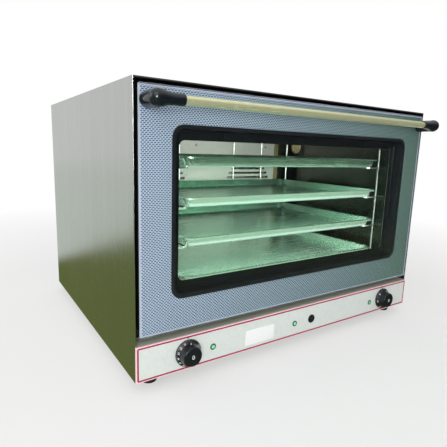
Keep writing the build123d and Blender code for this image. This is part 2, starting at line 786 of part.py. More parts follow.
# Door frame, a channel ring open to the back, with slots for the hinge ears
channel_depth = frame_back - frame_front
slot_top = hinge_z + lug_bridge
slot_width = hinge_ear_thickness + 2 * hinge_side_gap
with BuildPart() as door_frame:
    with BuildSketch(facing(0, frame_back, door_middle)):
        RectangleRounded(door_frame_width, door_frame_height, 4)
        RectangleRounded(door_opening_width, door_opening_height, door_frame_radius, mode=Mode.SUBTRACT)
    extrude(amount=channel_depth)
    with BuildSketch(facing(0, frame_back, door_middle)):
        RectangleRounded(door_frame_width - 2 * door_sheet, door_frame_height - 2 * door_sheet, 3)
        RectangleRounded(door_opening_width + 2 * door_sheet, door_opening_height + 2 * door_sheet,
                         door_frame_radius + door_sheet, mode=Mode.SUBTRACT)
    extrude(amount=channel_depth - door_sheet, mode=Mode.SUBTRACT)
    for side in (-1, 1):
        with BuildSketch(facing(side * hinge_x, frame_back, 0)):
            with Locations((0, (door_bottom + slot_top) / 2)):
                Rectangle(slot_width, slot_top - door_bottom)
        extrude(amount=channel_depth - door_sheet, mode=Mode.SUBTRACT)
save(door_frame, "door_frame")

# Door inner panel that closes the channel, with the same slots
with BuildPart() as inner_panel:
    with BuildSketch(facing(0, door_back, door_middle)):
        RectangleRounded(door_frame_width, door_frame_height, 4)
        RectangleRounded(pane_width - 2 * inner_glass_lap, pane_height - 2 * inner_glass_lap, 12,
                         mode=Mode.SUBTRACT)
        for side in (-1, 1):
            with Locations((side * hinge_x, (door_bottom + slot_top) / 2 - door_middle)):
                Rectangle(slot_width, slot_top - door_bottom, mode=Mode.SUBTRACT)
    extrude(amount=door_sheet)
save(inner_panel, "door_inner_panel")

# Door inner glass and the clips that hold it to the inner panel
with BuildPart() as inner_pane:
    with BuildSketch(facing(0, frame_back, door_middle)):
        RectangleRounded(pane_width, pane_height, 10)
    extrude(amount=inner_glass)
save(inner_pane, "door_inner_glass")

clip_lap = 7.0
clip_size = 22.0
with BuildPart() as glass_clips:
    for across in (-0.32, 0.32):
        for side in (-1, 1):
            z = door_middle + side * pane_height / 2
            with BuildSketch(sideways(across * pane_width - clip_size / 2, frame_back, z)):
                with Locations((-inner_glass - 0.9, -side * (clip_lap - inner_glass_gap + 0.4) / 2)):
                    Rectangle(1.6, clip_lap + inner_glass_gap - 0.4)
                with Locations((-(inner_glass + 1.7) / 2, side * (inner_glass_gap - 1.2))):
                    Rectangle(inner_glass + 1.7, 1.6)
            extrude(amount=clip_size)
save(glass_clips, "glass_clips")

# Door handle: a tube between two moulded end brackets that stand on the glass
bulb_x = door_width / 2 - handle_bulb_inset
sleeve_inner = bulb_x - handle_sleeve_length
bar_half = sleeve_inner + 12
with BuildPart() as handle_bar:
    with BuildSketch(sideways(-bar_half, handle_y, handle_z)):
        Circle(handle_bar_radius)
        Circle(handle_bar_radius - handle_bar_wall, mode=Mode.SUBTRACT)
    extrude(amount=2 * bar_half)
save(handle_bar, "handle_bar")

with BuildPart() as caps:
    for side in (-1, 1):
        with BuildSketch(Plane(origin=(side * bulb_x, front_y + handle_y, foot_height + handle_z),
                               x_dir=(side, 0, 0), z_dir=(0, -side, 0))):
            with BuildLine():
                sleeve_radius = handle_bar_radius + handle_sleeve_wall
                base = Polyline((handle_bulb_radius, 0), (-handle_sleeve_length, 0),
                                (-handle_sleeve_length, sleeve_radius - 1),
                                (1 - handle_sleeve_length, sleeve_radius))
                neck = Spline(base @ 1, (-handle_bulb_radius, sleeve_radius + 2), (0, handle_bulb_radius),
                              tangents=((1, 0), (1, 0)))
                ThreePointArc(neck @ 1, ring_point(handle_bulb_radius, 45), (handle_bulb_radius, 0))
            make_face()
        revolve(axis=Axis((0, front_y + handle_y, foot_height + handle_z), (1, 0, 0)))
        with BuildSketch(facing(side * bulb_x, -door_proud, handle_z)):
            Circle(handle_post_radius)
        extrude(amount=-door_proud - handle_y)
        with BuildSketch(sideways(side * (sleeve_inner - 1), handle_y, handle_z)):
            Circle(handle_bar_radius)
        extrude(amount=side * (bar_half - sleeve_inner + 1), mode=Mode.SUBTRACT)
save(caps, "handle_caps")

# Trays, thin pressed pans with flared walls, rounded corners and a flat rim turned down all round
for number, rim in enumerate(tray_rims, start=1):
    floor_width = tray_width - 2 * (tray_rim + tray_flare)
    floor_depth = tray_depth - 2 * (tray_rim + tray_flare)
    tray_y = tray_front + tray_depth / 2
    with BuildPart() as tray:
        with BuildSketch(level(0, tray_y, rim - tray_height)):
            RectangleRounded(floor_width, floor_depth, tray_corner_radius - tray_flare)
        extrude(amount=tray_height, taper=-tray_draft)
        fillet(tray.faces().sort_by(Axis.Z)[0].edges(), 4)
        with BuildSketch(level(0, tray_y, rim - tray_sheet)):
            RectangleRounded(tray_width, tray_depth, tray_corner_radius + tray_rim)
        extrude(amount=tray_sheet)
        with BuildSketch(level(0, tray_y, rim - tray_lip)):
            RectangleRounded(tray_width, tray_depth, tray_corner_radius + tray_rim)
            RectangleRounded(tray_width - 2 * tray_sheet, tray_depth - 2 * tray_sheet,
                             tray_corner_radius + tray_rim - tray_sheet, mode=Mode.SUBTRACT)
        extrude(amount=tray_lip)
        with BuildSketch(level(0, tray_y, rim - tray_height + tray_sheet)):
            RectangleRounded(floor_width - 2 * tray_sheet, floor_depth - 2 * tray_sheet,
                             tray_corner_radius - tray_flare - tray_sheet)
        extrude(amount=tray_height, taper=-tray_draft, mode=Mode.SUBTRACT)
    save(tray, f"tray_{number}")

# Timer and thermostat: a body behind the panel with a bored neck, a spindle and a knob that has
# a sloped ring for its numbers, a round grip and a rib across it from top to bottom
knob_back = panel_proud + knob_gap
knob_front = knob_back + knob_depth
knob_root = knob_radius - knob_slope
knob_face = knob_root - knob_grip_taper
for side, name in ((-1, "timer"), (1, "thermostat")):
    x = side * knob_offset
    with BuildPart() as body:
        with BuildSketch(facing(x, panel_back, knob_height)):
            RectangleRounded(control_body_size, control_body_size, 4)
        extrude(amount=-control_body_depth)
        with BuildSketch(facing(x, panel_back, knob_height)):
            Circle(control_neck_radius)
        extrude(amount=panel_sheet + 0.6)
        with BuildSketch(facing(x, panel_back - panel_sheet - 1, knob_height)):
            Circle(spindle_radius + spindle_running)
        extrude(amount=-control_body_depth * 0.5, mode=Mode.SUBTRACT)
        with BuildSketch(facing(x, panel_back + control_body_depth, knob_height)):
            with GridLocations(10, 14, 3, 2):
                Rectangle(1, 6)
        extrude(amount=-7)
    save(body, f"{name}_body")

    with BuildPart() as spindle:
        with BuildSketch(facing(x, panel_back + control_body_depth * 0.3, knob_height)):
            Circle(spindle_radius)
        extrude(amount=panel_back + control_body_depth * 0.3 + knob_front - knob_wall)
    save(spindle, f"{name}_spindle")

    with BuildPart() as knob:
        axis_line = Axis((x, 0, foot_height + knob_height), (0, -1, 0))
        with BuildSketch(Plane(origin=(x, front_y - knob_back, foot_height + knob_height),
                               x_dir=(1, 0, 0), z_dir=(0, 0, -1))):
            with BuildLine():
                Polyline((0, 0), (knob_radius, 0), (knob_radius, knob_skirt),
                         (knob_root, knob_skirt + knob_slope_rise), (knob_face, knob_depth), (0, knob_depth),
                         (0, 0))
            make_face()
        revolve(axis=axis_line)
        fillet(knob.faces().sort_by(Axis.Y)[0].edges(), knob_edge)
        with BuildSketch(facing(x, -knob_back - knob_skirt, knob_height)):
            SlotOverall(2 * (knob_radius - knob_rib_inset), knob_rib_width, rotation=90)
        extrude(amount=knob_rib_rise, taper=8)
        with BuildSketch(facing(x, -knob_back, knob_height)):
            Circle(spindle_radius)
        extrude(amount=knob_depth - knob_wall, mode=Mode.SUBTRACT)
    save(knob, f"{name}_knob")

# Pilot lights: a dark holder through the panel and a domed green lens in it
with BuildPart() as holders:
    for x in light_columns:
        with BuildSketch(facing(x, -panel_proud, light_height)):
            Circle(light_radius + light_ring)
            Circle(light_radius - light_wall, mode=Mode.SUBTRACT)
        extrude(amount=1)
        with BuildSketch(facing(x, -panel_proud, light_height)):
            Circle(light_radius)
            Circle(light_radius - light_wall, mode=Mode.SUBTRACT)
        extrude(amount=-22)
save(holders, "pilot_holders")

with BuildPart() as lenses:
    for x in light_columns:
        with BuildSketch(facing(x, 14, light_height)):
            Circle(light_radius - light_wall)
        extrude(amount=14 + panel_proud + 2.2)
    front_rims = lenses.faces().filter_by(Axis.Y).group_by(Axis.Y)[0].edges()
    fillet(front_rims, 1.6)
save(lenses, "pilot_lenses")

# Steam switch with a bezel and a bored barrel, and the push button that slides in it
bezel_radius = button_radius + button_clearance + light_ring
with BuildPart() as switch:
    with BuildSketch(facing(button_column, -panel_proud, button_height)):
        Circle(bezel_radius + 2.5)
    extrude(amount=1.6)
    fillet(switch.faces().sort_by(Axis.Y)[0].edges(), 0.8)
    with BuildSketch(facing(button_column, -panel_proud, button_height)):
        Circle(bezel_radius)
    extrude(amount=-24)
    with BuildSketch(facing(button_column, 20 - panel_proud, button_height)):
        Rectangle(24, 20)
    extrude(amount=-18)
    with BuildSketch(facing(button_column, -panel_proud - 2, button_height)):
        Circle(button_radius + button_clearance)
    extrude(amount=-18, mode=Mode.SUBTRACT)
save(switch, "steam_switch")

with BuildPart() as button:
    with BuildSketch(facing(button_column, 10 - panel_proud, button_height)):
        Circle(button_radius)
    extrude(amount=10 + button_out)
    fillet(button.faces().sort_by(Axis.Y)[0].edges(), 1.6)
save(button, "steam_button")

# Terminal block for the mains, with a row of wire holes
with BuildPart() as terminals:
    with BuildSketch(level(gland_column, case_depth - 90, pan_floor)):
        RectangleRounded(84, 36, 3)
    extrude(amount=30)
    with BuildSketch(level(gland_column, case_depth - 90, pan_floor + 30)):
        with GridLocations(16, 16, 5, 2):
            Circle(4)
    extrude(amount=-16, mode=Mode.SUBTRACT)
save(terminals, "terminal_block")

# Cable gland with a hexagon nut outside the back and a bore for the mains cable
gland_length = 22.0
with BuildPart() as gland:
    with BuildSketch(facing(gland_column, case_depth, gland_height)):
        RegularPolygon(gland_radius + 4, 6, major_radius=False)
    extrude(amount=-6)
    with BuildSketch(facing(gland_column, case_depth + 6, gland_height)):
        Circle(gland_radius + 2)
    extrude(amount=-(gland_length - 6))
    fillet(gland.faces().sort_by(Axis.Y)[-1].edges(), 4)
    with BuildSketch(facing(gland_column, case_depth, gland_height)):
        Circle(gland_radius)
    extrude(amount=12)
    with BuildSketch(facing(gland_column, case_depth - 12, gland_height)):
        Circle(gland_bore)
    extrude(amount=-(gland_length + 12), mode=Mode.SUBTRACT)
save(gland, "cable_gland")

# Water inlet: a threaded spigot outside the back with a flange and a bore
with BuildPart() as inlet:
    with BuildSketch(facing(inlet_column, case_depth, inlet_height)):
        Circle(inlet_radius)
    extrude(amount=-inlet_length)
    chamfer(inlet.faces().sort_by(Axis.Y)[-1].edges(), 1.5)
    with BuildSketch(facing(inlet_column, case_depth - case_sheet, inlet_height)):
        RegularPolygon(inlet_radius + 4, 6, major_radius=False)
    extrude(amount=4)
    with BuildSketch(facing(inlet_column, case_depth, inlet_height)):
        Circle(inlet_radius - 0.5)
    extrude(amount=case_sheet + 4)
    with BuildSketch(facing(inlet_column, case_depth + inlet_length, inlet_height)):
        Circle(8)
    extrude(amount=inlet_length - 2, mode=Mode.SUBTRACT)
save(inlet, "water_inlet")

# Solenoid valve in line with the inlet, with its coil on top
valve_front = case_depth - case_sheet - 4
valve_length = 44.0
with BuildPart() as valve:
    with BuildSketch(facing(inlet_column, valve_front, inlet_height)):
        Circle(13)
    extrude(amount=valve_length)
    with BuildSketch(level(inlet_column, valve_front - valve_length / 2, inlet_height)):
        Circle(9)
    extrude(amount=18)
    with BuildSketch(level(inlet_column, valve_front - valve_length / 2, inlet_height + 16)):
        RectangleRounded(32, 30, 4)
    extrude(amount=32)
    with BuildSketch(facing(inlet_column, valve_front - valve_length, inlet_height)):
        Circle(6)
    extrude(amount=8)
save(valve, "steam_valve")

# Water pipe from the valve up behind the wool and forward between the fans
pipe_start = valve_front - valve_length - 8
pipe_rise_y = pipe_start - 24
with BuildPart() as pipe:
    with BuildLine() as route:
        FilletPolyline(
            (inlet_column, front_y + pipe_start, foot_height + inlet_height),
            (inlet_column, front_y + pipe_rise_y, foot_height + inlet_height),
            (0, front_y + pipe_rise_y, foot_height + inlet_height),
            (0, front_y + pipe_rise_y, foot_height + fan_z),
            (0, front_y + cavity_back - 10, foot_height + fan_z),
            radius=12,
        )
    with BuildSketch(Plane(route.line @ 0, z_dir=route.line % 0)):
        Circle(pipe_radius)
    sweep(path=route.line)
save(pipe, "water_pipe")

# Steam outlet: a duct from the cavity through the rear panel, with a wider spigot outside it
with BuildPart() as vent:
    with BuildSketch(facing(vent_column, cavity_back + cavity_sheet, vent_height)):
        Circle(duct_radius)
    extrude(amount=-(case_depth - cavity_back - cavity_sheet))
    with BuildSketch(facing(vent_column, case_depth, vent_height)):
        Circle(vent_radius)
    extrude(amount=-vent_length)
    with BuildSketch(facing(vent_column, cavity_back + cavity_sheet, vent_height)):
        Circle(duct_radius - vent_wall)
    extrude(amount=-(case_depth + vent_length - cavity_back - cavity_sheet), mode=Mode.SUBTRACT)
save(vent, "vent_pipe")

# Four rubber feet, tapered, with a hollow for the screw head underneath
with BuildPart() as feet:
    for x, y in foot_places:
        with BuildSketch(level(x, y, case_sheet)):
            Circle(foot_top_radius)
        with BuildSketch(level(x, y, -foot_height)):
            Circle(foot_bottom_radius)
        loft()
    fillet(feet.faces().filter_by(Axis.Z).group_by(Axis.Z)[0].edges(), 1.5)
    for x, y in foot_places:
        with BuildSketch(level(x, y, -foot_height)):
            Circle(screw_head_radius + 2)
        extrude(amount=foot_height - foot_screw_roof, mode=Mode.SUBTRACT)
        with BuildSketch(level(x, y, case_sheet)):
            Circle(screw_radius + screw_hole_clearance)
        extrude(amount=-foot_height, mode=Mode.SUBTRACT)
save(feet, "feet")

# Screws: the feet, the edge of the rear panel, the rear cover and the baffle
with BuildPart() as screws:
    for x, y in foot_places:
        foot_roof = Plane(origin=level(x, y, -foot_screw_roof).origin, x_dir=(1, 0, 0), z_dir=(0, 0, -1))
        add(screw(foot_roof, foot_screw_length))
    for x, z in panel_screws:
        add(screw(backing(x, case_depth, z)))
    for x, z in cover_screws:
        add(screw(backing(x, case_depth + case_sheet, z)))
    for x, z in baffle_screws:
        add(screw(facing(x, baffle_y, z)))
save(screws, "casing_screws")
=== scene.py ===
"""Looks of a convection steam oven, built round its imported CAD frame.

Every length is in metres in the frame's own axes: +X to the user's right, +Y to the back and +Z
up, with the oven standing on z = 0. Each sub-assembly is a class that makes its own pieces and
gives its CAD nodes their finishes.
"""

import logging
import math
from dataclasses import dataclass, field
from enum import Enum
from functools import cache

import bmesh
import bpy
import numpy as np
from mathutils import Matrix, Vector


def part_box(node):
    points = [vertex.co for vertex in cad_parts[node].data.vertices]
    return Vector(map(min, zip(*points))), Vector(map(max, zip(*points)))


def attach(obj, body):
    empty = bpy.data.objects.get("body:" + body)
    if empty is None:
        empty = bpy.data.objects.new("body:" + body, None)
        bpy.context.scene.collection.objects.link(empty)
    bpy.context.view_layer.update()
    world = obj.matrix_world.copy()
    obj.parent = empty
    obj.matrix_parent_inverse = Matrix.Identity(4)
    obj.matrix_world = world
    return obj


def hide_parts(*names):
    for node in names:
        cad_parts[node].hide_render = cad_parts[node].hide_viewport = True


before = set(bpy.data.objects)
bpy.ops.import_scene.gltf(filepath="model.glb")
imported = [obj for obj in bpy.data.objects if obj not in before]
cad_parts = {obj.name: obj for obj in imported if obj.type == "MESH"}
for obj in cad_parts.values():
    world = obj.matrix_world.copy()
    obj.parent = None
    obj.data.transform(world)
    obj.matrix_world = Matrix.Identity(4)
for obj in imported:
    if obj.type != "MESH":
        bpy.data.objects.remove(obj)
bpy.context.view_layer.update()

LOG = logging.getLogger("steam_oven")
MM = 0.001
TURN = 2 * math.pi

Pair = tuple[float, float]
Triple = tuple[float, float, float]
Ramp = tuple[float, float, float, float]
Shape = tuple[np.ndarray, list]
Socket = bpy.types.NodeSocket


class Body(Enum):
    """The bodies that the new pieces ride on."""

    CASING = "oven_casing"
    DOOR = "door"
    TIMER = "timer"
    THERMOSTAT = "thermostat"


class Ray(Enum):
    """Outputs of the Light Path node that the stage and the glass read."""

    CAMERA = "Is Camera Ray"
    GLOSSY = "Is Glossy Ray"
    SHADOW = "Is Shadow Ray"
    TRANSMISSION = "Is Transmission Ray"
    DIFFUSE = "Is Diffuse Ray"


# Surfaces worked out with numpy


def grid_faces(rings: int, sides: int, close: bool = False) -> np.ndarray:
    """Quads between closed rings of points that are stored one after the other.

    Args:
        rings: Number of rings.
        sides: Number of points in a ring.
        close: Whether the last ring joins the first.

    Returns:
        An array of vertex indices, one row of four for each quad.
    """
    i = np.arange(rings if close else rings - 1)[:, None]
    j = np.arange(sides)[None, :]
    below, right = (i + 1) % rings, (j + 1) % sides
    quads = [i * sides + j, i * sides + right, below * sides + right, below * sides + j]
    return np.stack(quads, -1).reshape(-1, 4)


def capped_faces(rings: int, sides: int, first: bool = True, last: bool = True) -> list:
    """Quads between rings of points, with flat polygons over the ends.

    Args:
        rings: Number of rings.
        sides: Number of points in a ring.
        first: Whether a polygon closes the first ring.
        last: Whether a polygon closes the last ring.

    Returns:
        The faces as lists of vertex indices.
    """
    faces = grid_faces(rings, sides).tolist()
    if first:
        faces.append(list(range(sides))[::-1])
    if last:
        faces.append([(rings - 1) * sides + k for k in range(sides)])
    return faces


def ring_angles(sides: int) -> np.ndarray:
    """Angles of the points of a ring."""
    return np.arange(sides) / sides * TURN


def outline(width: float, height: float, radius: float, steps: int) -> np.ndarray:
    """Points of a rounded rectangle round the origin, going round to the left.

    Each corner is a quarter circle: its centre plus the radius times (cos, sin) of the angle.

    Args:
        width: Whole width.
        height: Whole height.
        radius: Corner radius.
        steps: Points in each corner.

    Returns:
        An array of (n, 2) points.
    """
    angle = np.linspace(0, math.pi / 2, steps)[None, :] + np.arange(4)[:, None] * math.pi / 2
    sign_x = np.array([1, -1, -1, 1])[:, None]
    sign_y = np.array([1, 1, -1, -1])[:, None]
    x = sign_x * (width / 2 - radius) + radius * np.cos(angle)
    y = sign_y * (height / 2 - radius) + radius * np.sin(angle)
    return np.stack([x.ravel(), y.ravel()], -1)


def relief(loops: list[np.ndarray], places: list[float], x: float, z: float) -> Shape:
    """A flat raised shape: outlines of one kind that stand one before the other, closed at the ends.

    Args:
        loops: (n, 2) outlines, across and up.
        places: Place of each outline along Y.
        x: Place of the outlines' origin across.
        z: Height of the outlines' origin.

    Returns:
        Points and faces.
    """
    points = [np.stack([loop[:, 0] + x, np.full(len(loop), y), loop[:, 1] + z], -1)
              for loop, y in zip(loops, places)]
    return np.concatenate(points), capped_faces(len(loops), len(loops[0]))


def edging(ring: np.ndarray, y: float, z: float, section: np.ndarray) -> Shape:
    """Carries a closed section round a closed outline that stands across Y.

    A point is the outline's point plus the section's first number times the outline's outward
    normal plus its second number towards the front.

    Args:
        ring: (n, 2) outline, across and up, going round to the left.
        y: Place of the outline along Y.
        z: Height of the outline's origin.
        section: (m, 2) closed section.

    Returns:
        Points and faces.
    """
    along = np.roll(ring, -1, 0) - np.roll(ring, 1, 0)
    normal = np.stack([along[:, 1], -along[:, 0]], -1)
    normal /= np.linalg.norm(normal, axis=1, keepdims=True)
    flat = ring[:, None] + section[:, :1] * normal[:, None]
    depth = np.broadcast_to(y - section[:, 1], flat.shape[:2])
    points = np.stack([flat[..., 0], depth, flat[..., 1] + z], -1)
    return points.reshape(-1, 3), grid_faces(len(ring), len(section), True)


def tube(path: np.ndarray, radius: float, sides: int) -> Shape:
    """A round tube along an open path, with flat ends.

    The ring at each point lies across the path's direction: the point plus the radius times
    cos and sin of the angle along two vectors across it.

    Args:
        path: (n, 3) points.
        radius: Radius of the tube.
        sides: Points round the tube.

    Returns:
        Points and faces.
    """
    along = np.gradient(path, axis=0)
    along /= np.linalg.norm(along, axis=1, keepdims=True)
    guide = np.array([0.0, 0.3, 0.95])
    first = np.cross(along, guide)
    first /= np.linalg.norm(first, axis=1, keepdims=True)
    second = np.cross(along, first)
    angle = ring_angles(sides)[:, None]
    spoke = np.cos(angle) * first[:, None] + np.sin(angle) * second[:, None]
    return (path[:, None] + radius * spoke).reshape(-1, 3), capped_faces(len(path), sides)


def turned(profile: np.ndarray, origin: Vector, axis: Vector, sides: int,
           waves: np.ndarray | float = 0.0) -> Shape:
    """A surface turned round an axis from a profile of (radius, distance along the axis).

    A point is the origin plus the distance along the axis plus the radius times (cos, sin) of
    the angle across it.

    Args:
        profile: (n, 2) profile. An end off the axis is closed with a flat polygon.
        origin: Place of distance 0.
        axis: Unit vector along which the distance counts.
        sides: Points round the axis.
        waves: Number, or (n, sides) numbers, added to the radius.

    Returns:
        Points and faces.
    """
    along = np.array(axis)
    first = np.cross([0.0, 0.0, 1.0], along)
    second = np.cross(along, first)
    angle = ring_angles(sides)[:, None]
    radius = profile[:, :1] * np.ones((1, sides)) + waves
    spoke = np.cos(angle) * first + np.sin(angle) * second
    points = np.array(origin) + profile[:, 1:, None] * along + radius[:, :, None] * spoke
    open_ends = profile[[0, -1], 0] > 1e-9
    return points.reshape(-1, 3), capped_faces(len(profile), sides, *open_ends)


def join_parts(parts: list[Shape]) -> Shape:
    """Adds several shapes into one, moving the indices of each along.

    Args:
        parts: The shapes.

    Returns:
        Points and faces of all of them.
    """
    points, faces, start = [], [], 0
    for part_points, part_faces in parts:
        points.append(part_points)
        faces.extend([[k + start for k in face] for face in part_faces])
        start += len(part_points)
    return np.concatenate(points), faces


def weld(mesh: bpy.types.Mesh) -> None:
    """Merges doubled points of a mesh and turns its faces outwards.

    Args:
        mesh: The mesh, changed in place.
    """
    work = bmesh.new()
    work.from_mesh(mesh)
    bmesh.ops.remove_doubles(work, verts=work.verts, dist=1e-7)
    bmesh.ops.recalc_face_normals(work, faces=work.faces)
    work.to_mesh(mesh)
    work.free()


def make_piece(name: str, shape: Shape, body: Body, material: bpy.types.Material,
               smooth: bool = True) -> bpy.types.Object:
    """Puts a shape into a mesh object that rides on a body.

    Args:
        name: Name of the piece.
        shape: (n, 3) places and the faces as vertex indices.
        body: Body that the piece moves with.
        material: Finish of the piece.
        smooth: Whether the faces are shaded smooth.

    Returns:
        The new object, at the origin and unturned, with its doubled points merged.
    """
    points, faces = shape
    mesh = bpy.data.meshes.new(name)
    mesh.from_pydata(points.tolist(), [], [list(map(int, face)) for face in faces])
    mesh.polygons.foreach_set("use_smooth", np.full(len(mesh.polygons), smooth))
    mesh.update()
    mesh.materials.append(material)
    piece = bpy.data.objects.new(name, mesh)
    bpy.context.scene.collection.objects.link(piece)
    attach(piece, body.value)
    weld(mesh)
    LOG.info("%s: %d points on %s", name, len(points), body.value)
    return piece


# Shaders


class Tree:
    """The node tree of a material, a world or a group, with short calls to build it."""

    def __init__(self, tree: bpy.types.NodeTree) -> None:
        """Keeps the tree and empties it."""
        self.tree = tree
        tree.nodes.clear()

    def feed(self, node: bpy.types.Node, inputs: dict) -> None:
        """Links or sets a node's inputs.

        Args:
            node: The node.
            inputs: Sockets or values by input name or number, a colour as three numbers.
        """
        for key, value in inputs.items():
            socket = node.inputs[key]
            if isinstance(value, Socket):
                self.tree.links.new(value, socket)
            else:
                socket.default_value = (*value, 1.0) if socket.type == "RGBA" else value

    def add(self, kind: str, inputs: dict | None = None, **settings: object) -> bpy.types.Node:
        """Adds a node.

        Args:
            kind: Node type without its ShaderNode prefix.
            inputs: Sockets or values by input name or number.
            **settings: Attributes of the node.

        Returns:
            The node.
        """
        node = self.tree.nodes.new(kind if kind.startswith("NodeGroup") else "ShaderNode" + kind)
        for key, value in settings.items():
            setattr(node, key, value)
        self.feed(node, inputs or {})
        return node

    def calc(self, operation: str, *values: object, clamp: bool = False) -> Socket:
        """A Math node of one operation on numbers or sockets."""
        return self.add("Math", dict(enumerate(values)), operation=operation, use_clamp=clamp).outputs[0]

    def vector(self, operation: str, *values: object) -> Socket:
        """A Vector Math node of one operation whose result is a vector."""
        return self.add("VectorMath", dict(enumerate(values)), operation=operation).outputs["Vector"]

    def measure(self, operation: str, *values: object) -> Socket:
        """A Vector Math node of one operation whose result is a number."""
        return self.add("VectorMath", dict(enumerate(values)), operation=operation).outputs["Value"]

    def split(self, place: Socket) -> bpy.types.NodeOutputs:
        """The three parts of a vector."""
        return self.add("SeparateXYZ", {0: place}).outputs

    def blend(self, share: object, low: object, high: object) -> Socket:
        """A colour between two colours, by a share from 0 to 1."""
        return self.add("Mix", {0: share, 6: low, 7: high}, data_type="RGBA").outputs[2]

    def between(self, share: object, low: object, high: object) -> Socket:
        """A number between two numbers, by a share from 0 to 1."""
        return self.add("Mix", {0: share, 2: low, 3: high}).outputs[0]

    def ramp(self, value: Socket, low: float, high: float, to_low: float = 0.0,
             to_high: float = 1.0) -> Socket:
        """A value moved from one range to another and clamped."""
        return self.add("MapRange", {0: value, 1: low, 2: high, 3: to_low, 4: to_high}).outputs[0]

    def spread(self, share: Socket, low: float, high: float) -> Socket:
        """A share from 0 to 1 moved to a range."""
        return self.ramp(share, 0.0, 1.0, low, high)

    def noise(self, place: Socket, scale: object, **inputs: float) -> Socket:
        """The value of a Noise Texture."""
        return self.add("TexNoise", {"Vector": place, "Scale": scale, **inputs}).outputs[0]

    def either(self, share: Socket, first: bpy.types.Node, second: bpy.types.Node) -> bpy.types.Node:
        """A Mix Shader node of two shaders."""
        return self.add("MixShader", {0: share, 1: first.outputs[0], 2: second.outputs[0]})


def start_effect(name: str, vectors: tuple[str, ...], outputs: tuple[str, ...]
                 ) -> tuple[Tree, bpy.types.NodeOutputs, bpy.types.Node]:
    """Makes the tree of a node group with its sockets.

    Args:
        name: Name of the group.
        vectors: Names of the vector inputs, which the float input Scale follows.
        outputs: Names of the float outputs.

    Returns:
        The group's Tree, the sockets of its inputs and its output node.
    """
    group = bpy.data.node_groups.new(name, "ShaderNodeTree")
    for key in vectors:
        group.interface.new_socket(name=key, in_out="INPUT", socket_type="NodeSocketVector")
    group.interface.new_socket(name="Scale", in_out="INPUT", socket_type="NodeSocketFloat")
    for key in outputs:
        group.interface.new_socket(name=key, in_out="OUTPUT", socket_type="NodeSocketFloat")
    tree = Tree(group)
    return tree, tree.add("NodeGroupInput").outputs, tree.add("NodeGroupOutput")


@cache
def brushed_grain() -> bpy.types.NodeTree:
    """Fine scratches and broad bands of brushed metal: noise drawn out by a stretch vector.

    Returns:
        The group, with the outputs Scratch and Band.
    """
    tree, start, end = start_effect("brushed_grain", ("Place", "Stretch"), ("Scratch", "Band"))
    drawn = tree.vector("MULTIPLY", start["Place"], start["Stretch"])
    fine = tree.noise(drawn, start["Scale"], Detail=3.0, Roughness=0.65)
    broader = 0.06
    broad = tree.noise(drawn, tree.calc("MULTIPLY", start["Scale"], broader), Detail=2.0)
    tree.feed(end, {"Scratch": tree.ramp(fine, 0.3, 0.7), "Band": tree.ramp(broad, 0.35, 0.65)})
    return tree.tree


@cache
def soft_smudge() -> bpy.types.NodeTree:
    """Wiping marks and handling: soft clouds with finer streaks in them.

    Returns:
        The group, with the outputs Cloud and Streak.
    """
    tree, start, end = start_effect("soft_smudge", ("Place",), ("Cloud", "Streak"))
    cloud = tree.noise(start["Place"], start["Scale"], Detail=4.0, Roughness=0.55, Distortion=0.6)
    finer = 9.0
    streak = tree.noise(start["Place"], tree.calc("MULTIPLY", start["Scale"], finer), Detail=3.0,
                        Distortion=1.5)
    tree.feed(end, {"Cloud": tree.ramp(cloud, 0.35, 0.7), "Streak": tree.ramp(streak, 0.45, 0.75)})
    return tree.tree


@cache
def pebbled_skin() -> bpy.types.NodeTree:
    """The fine pebbled skin of moulded plastic, paint or rubber, with larger spots on it.

    Returns:
        The group, with the outputs Height and Spot.
    """
    tree, start, end = start_effect("pebbled_skin", ("Place",), ("Height", "Spot"))
    cells = tree.add("TexVoronoi", {"Vector": start["Place"], "Scale": start["Scale"]}, feature="SMOOTH_F1")
    larger = 0.35
    spots = tree.noise(start["Place"], tree.calc("MULTIPLY", start["Scale"], larger), Detail=2.0)
    tree.feed(end, {"Height": cells.outputs[0], "Spot": tree.ramp(spots, 0.55, 0.72)})
    return tree.tree


class Look(Tree):
    """A material's tree with its Principled shader and the Object coordinates."""

    def __init__(self, name: str, colour: Triple) -> None:
        """Starts the material.

        Args:
            name: Name of the material.
            colour: Colour that the viewport shows.
        """
        self.material = bpy.data.materials.new(name)
        self.material.use_nodes = True
        self.material.diffuse_color = (*colour, 1.0)
        super().__init__(self.material.node_tree)
        self.shader = self.add("BsdfPrincipled")
        self.out = self.add("OutputMaterial", {0: self.shader.outputs[0]})
        self.place = self.add("TexCoord").outputs["Object"]

    def effect(self, group: bpy.types.NodeTree, **inputs: object) -> bpy.types.NodeOutputs:
        """Places a shared effect on the Object coordinates with its own values."""
        return self.add("Group", {"Place": self.place, **inputs}, node_tree=group).outputs

    def bump(self, strength: float, distance: float, height: Socket) -> Socket:
        """The normal of a Bump node."""
        return self.add("Bump", {"Strength": strength, "Distance": distance, "Height": height}).outputs[0]

    def rim_distance(self, middle: Triple, half: Triple) -> Socket:
        """The distance from the nearest side of a box, across or up, at a place inside it.

        It is the box's half size less the size of the place's distance from its middle.

        Args:
            middle: Middle of the box.
            half: Half of its size.

        Returns:
            The distance's socket.
        """
        away = self.vector("ABSOLUTE", self.vector("SUBTRACT", self.place, middle))
        left = self.split(self.vector("SUBTRACT", half, away))
        return self.calc("MINIMUM", left[0], left[2])

    def finish(self, **inputs: object) -> bpy.types.Material:
        """Feeds the Principled shader, its input names written with underscores."""
        self.feed(self.shader, {key.replace("_", " "): value for key, value in inputs.items()})
        return self.material


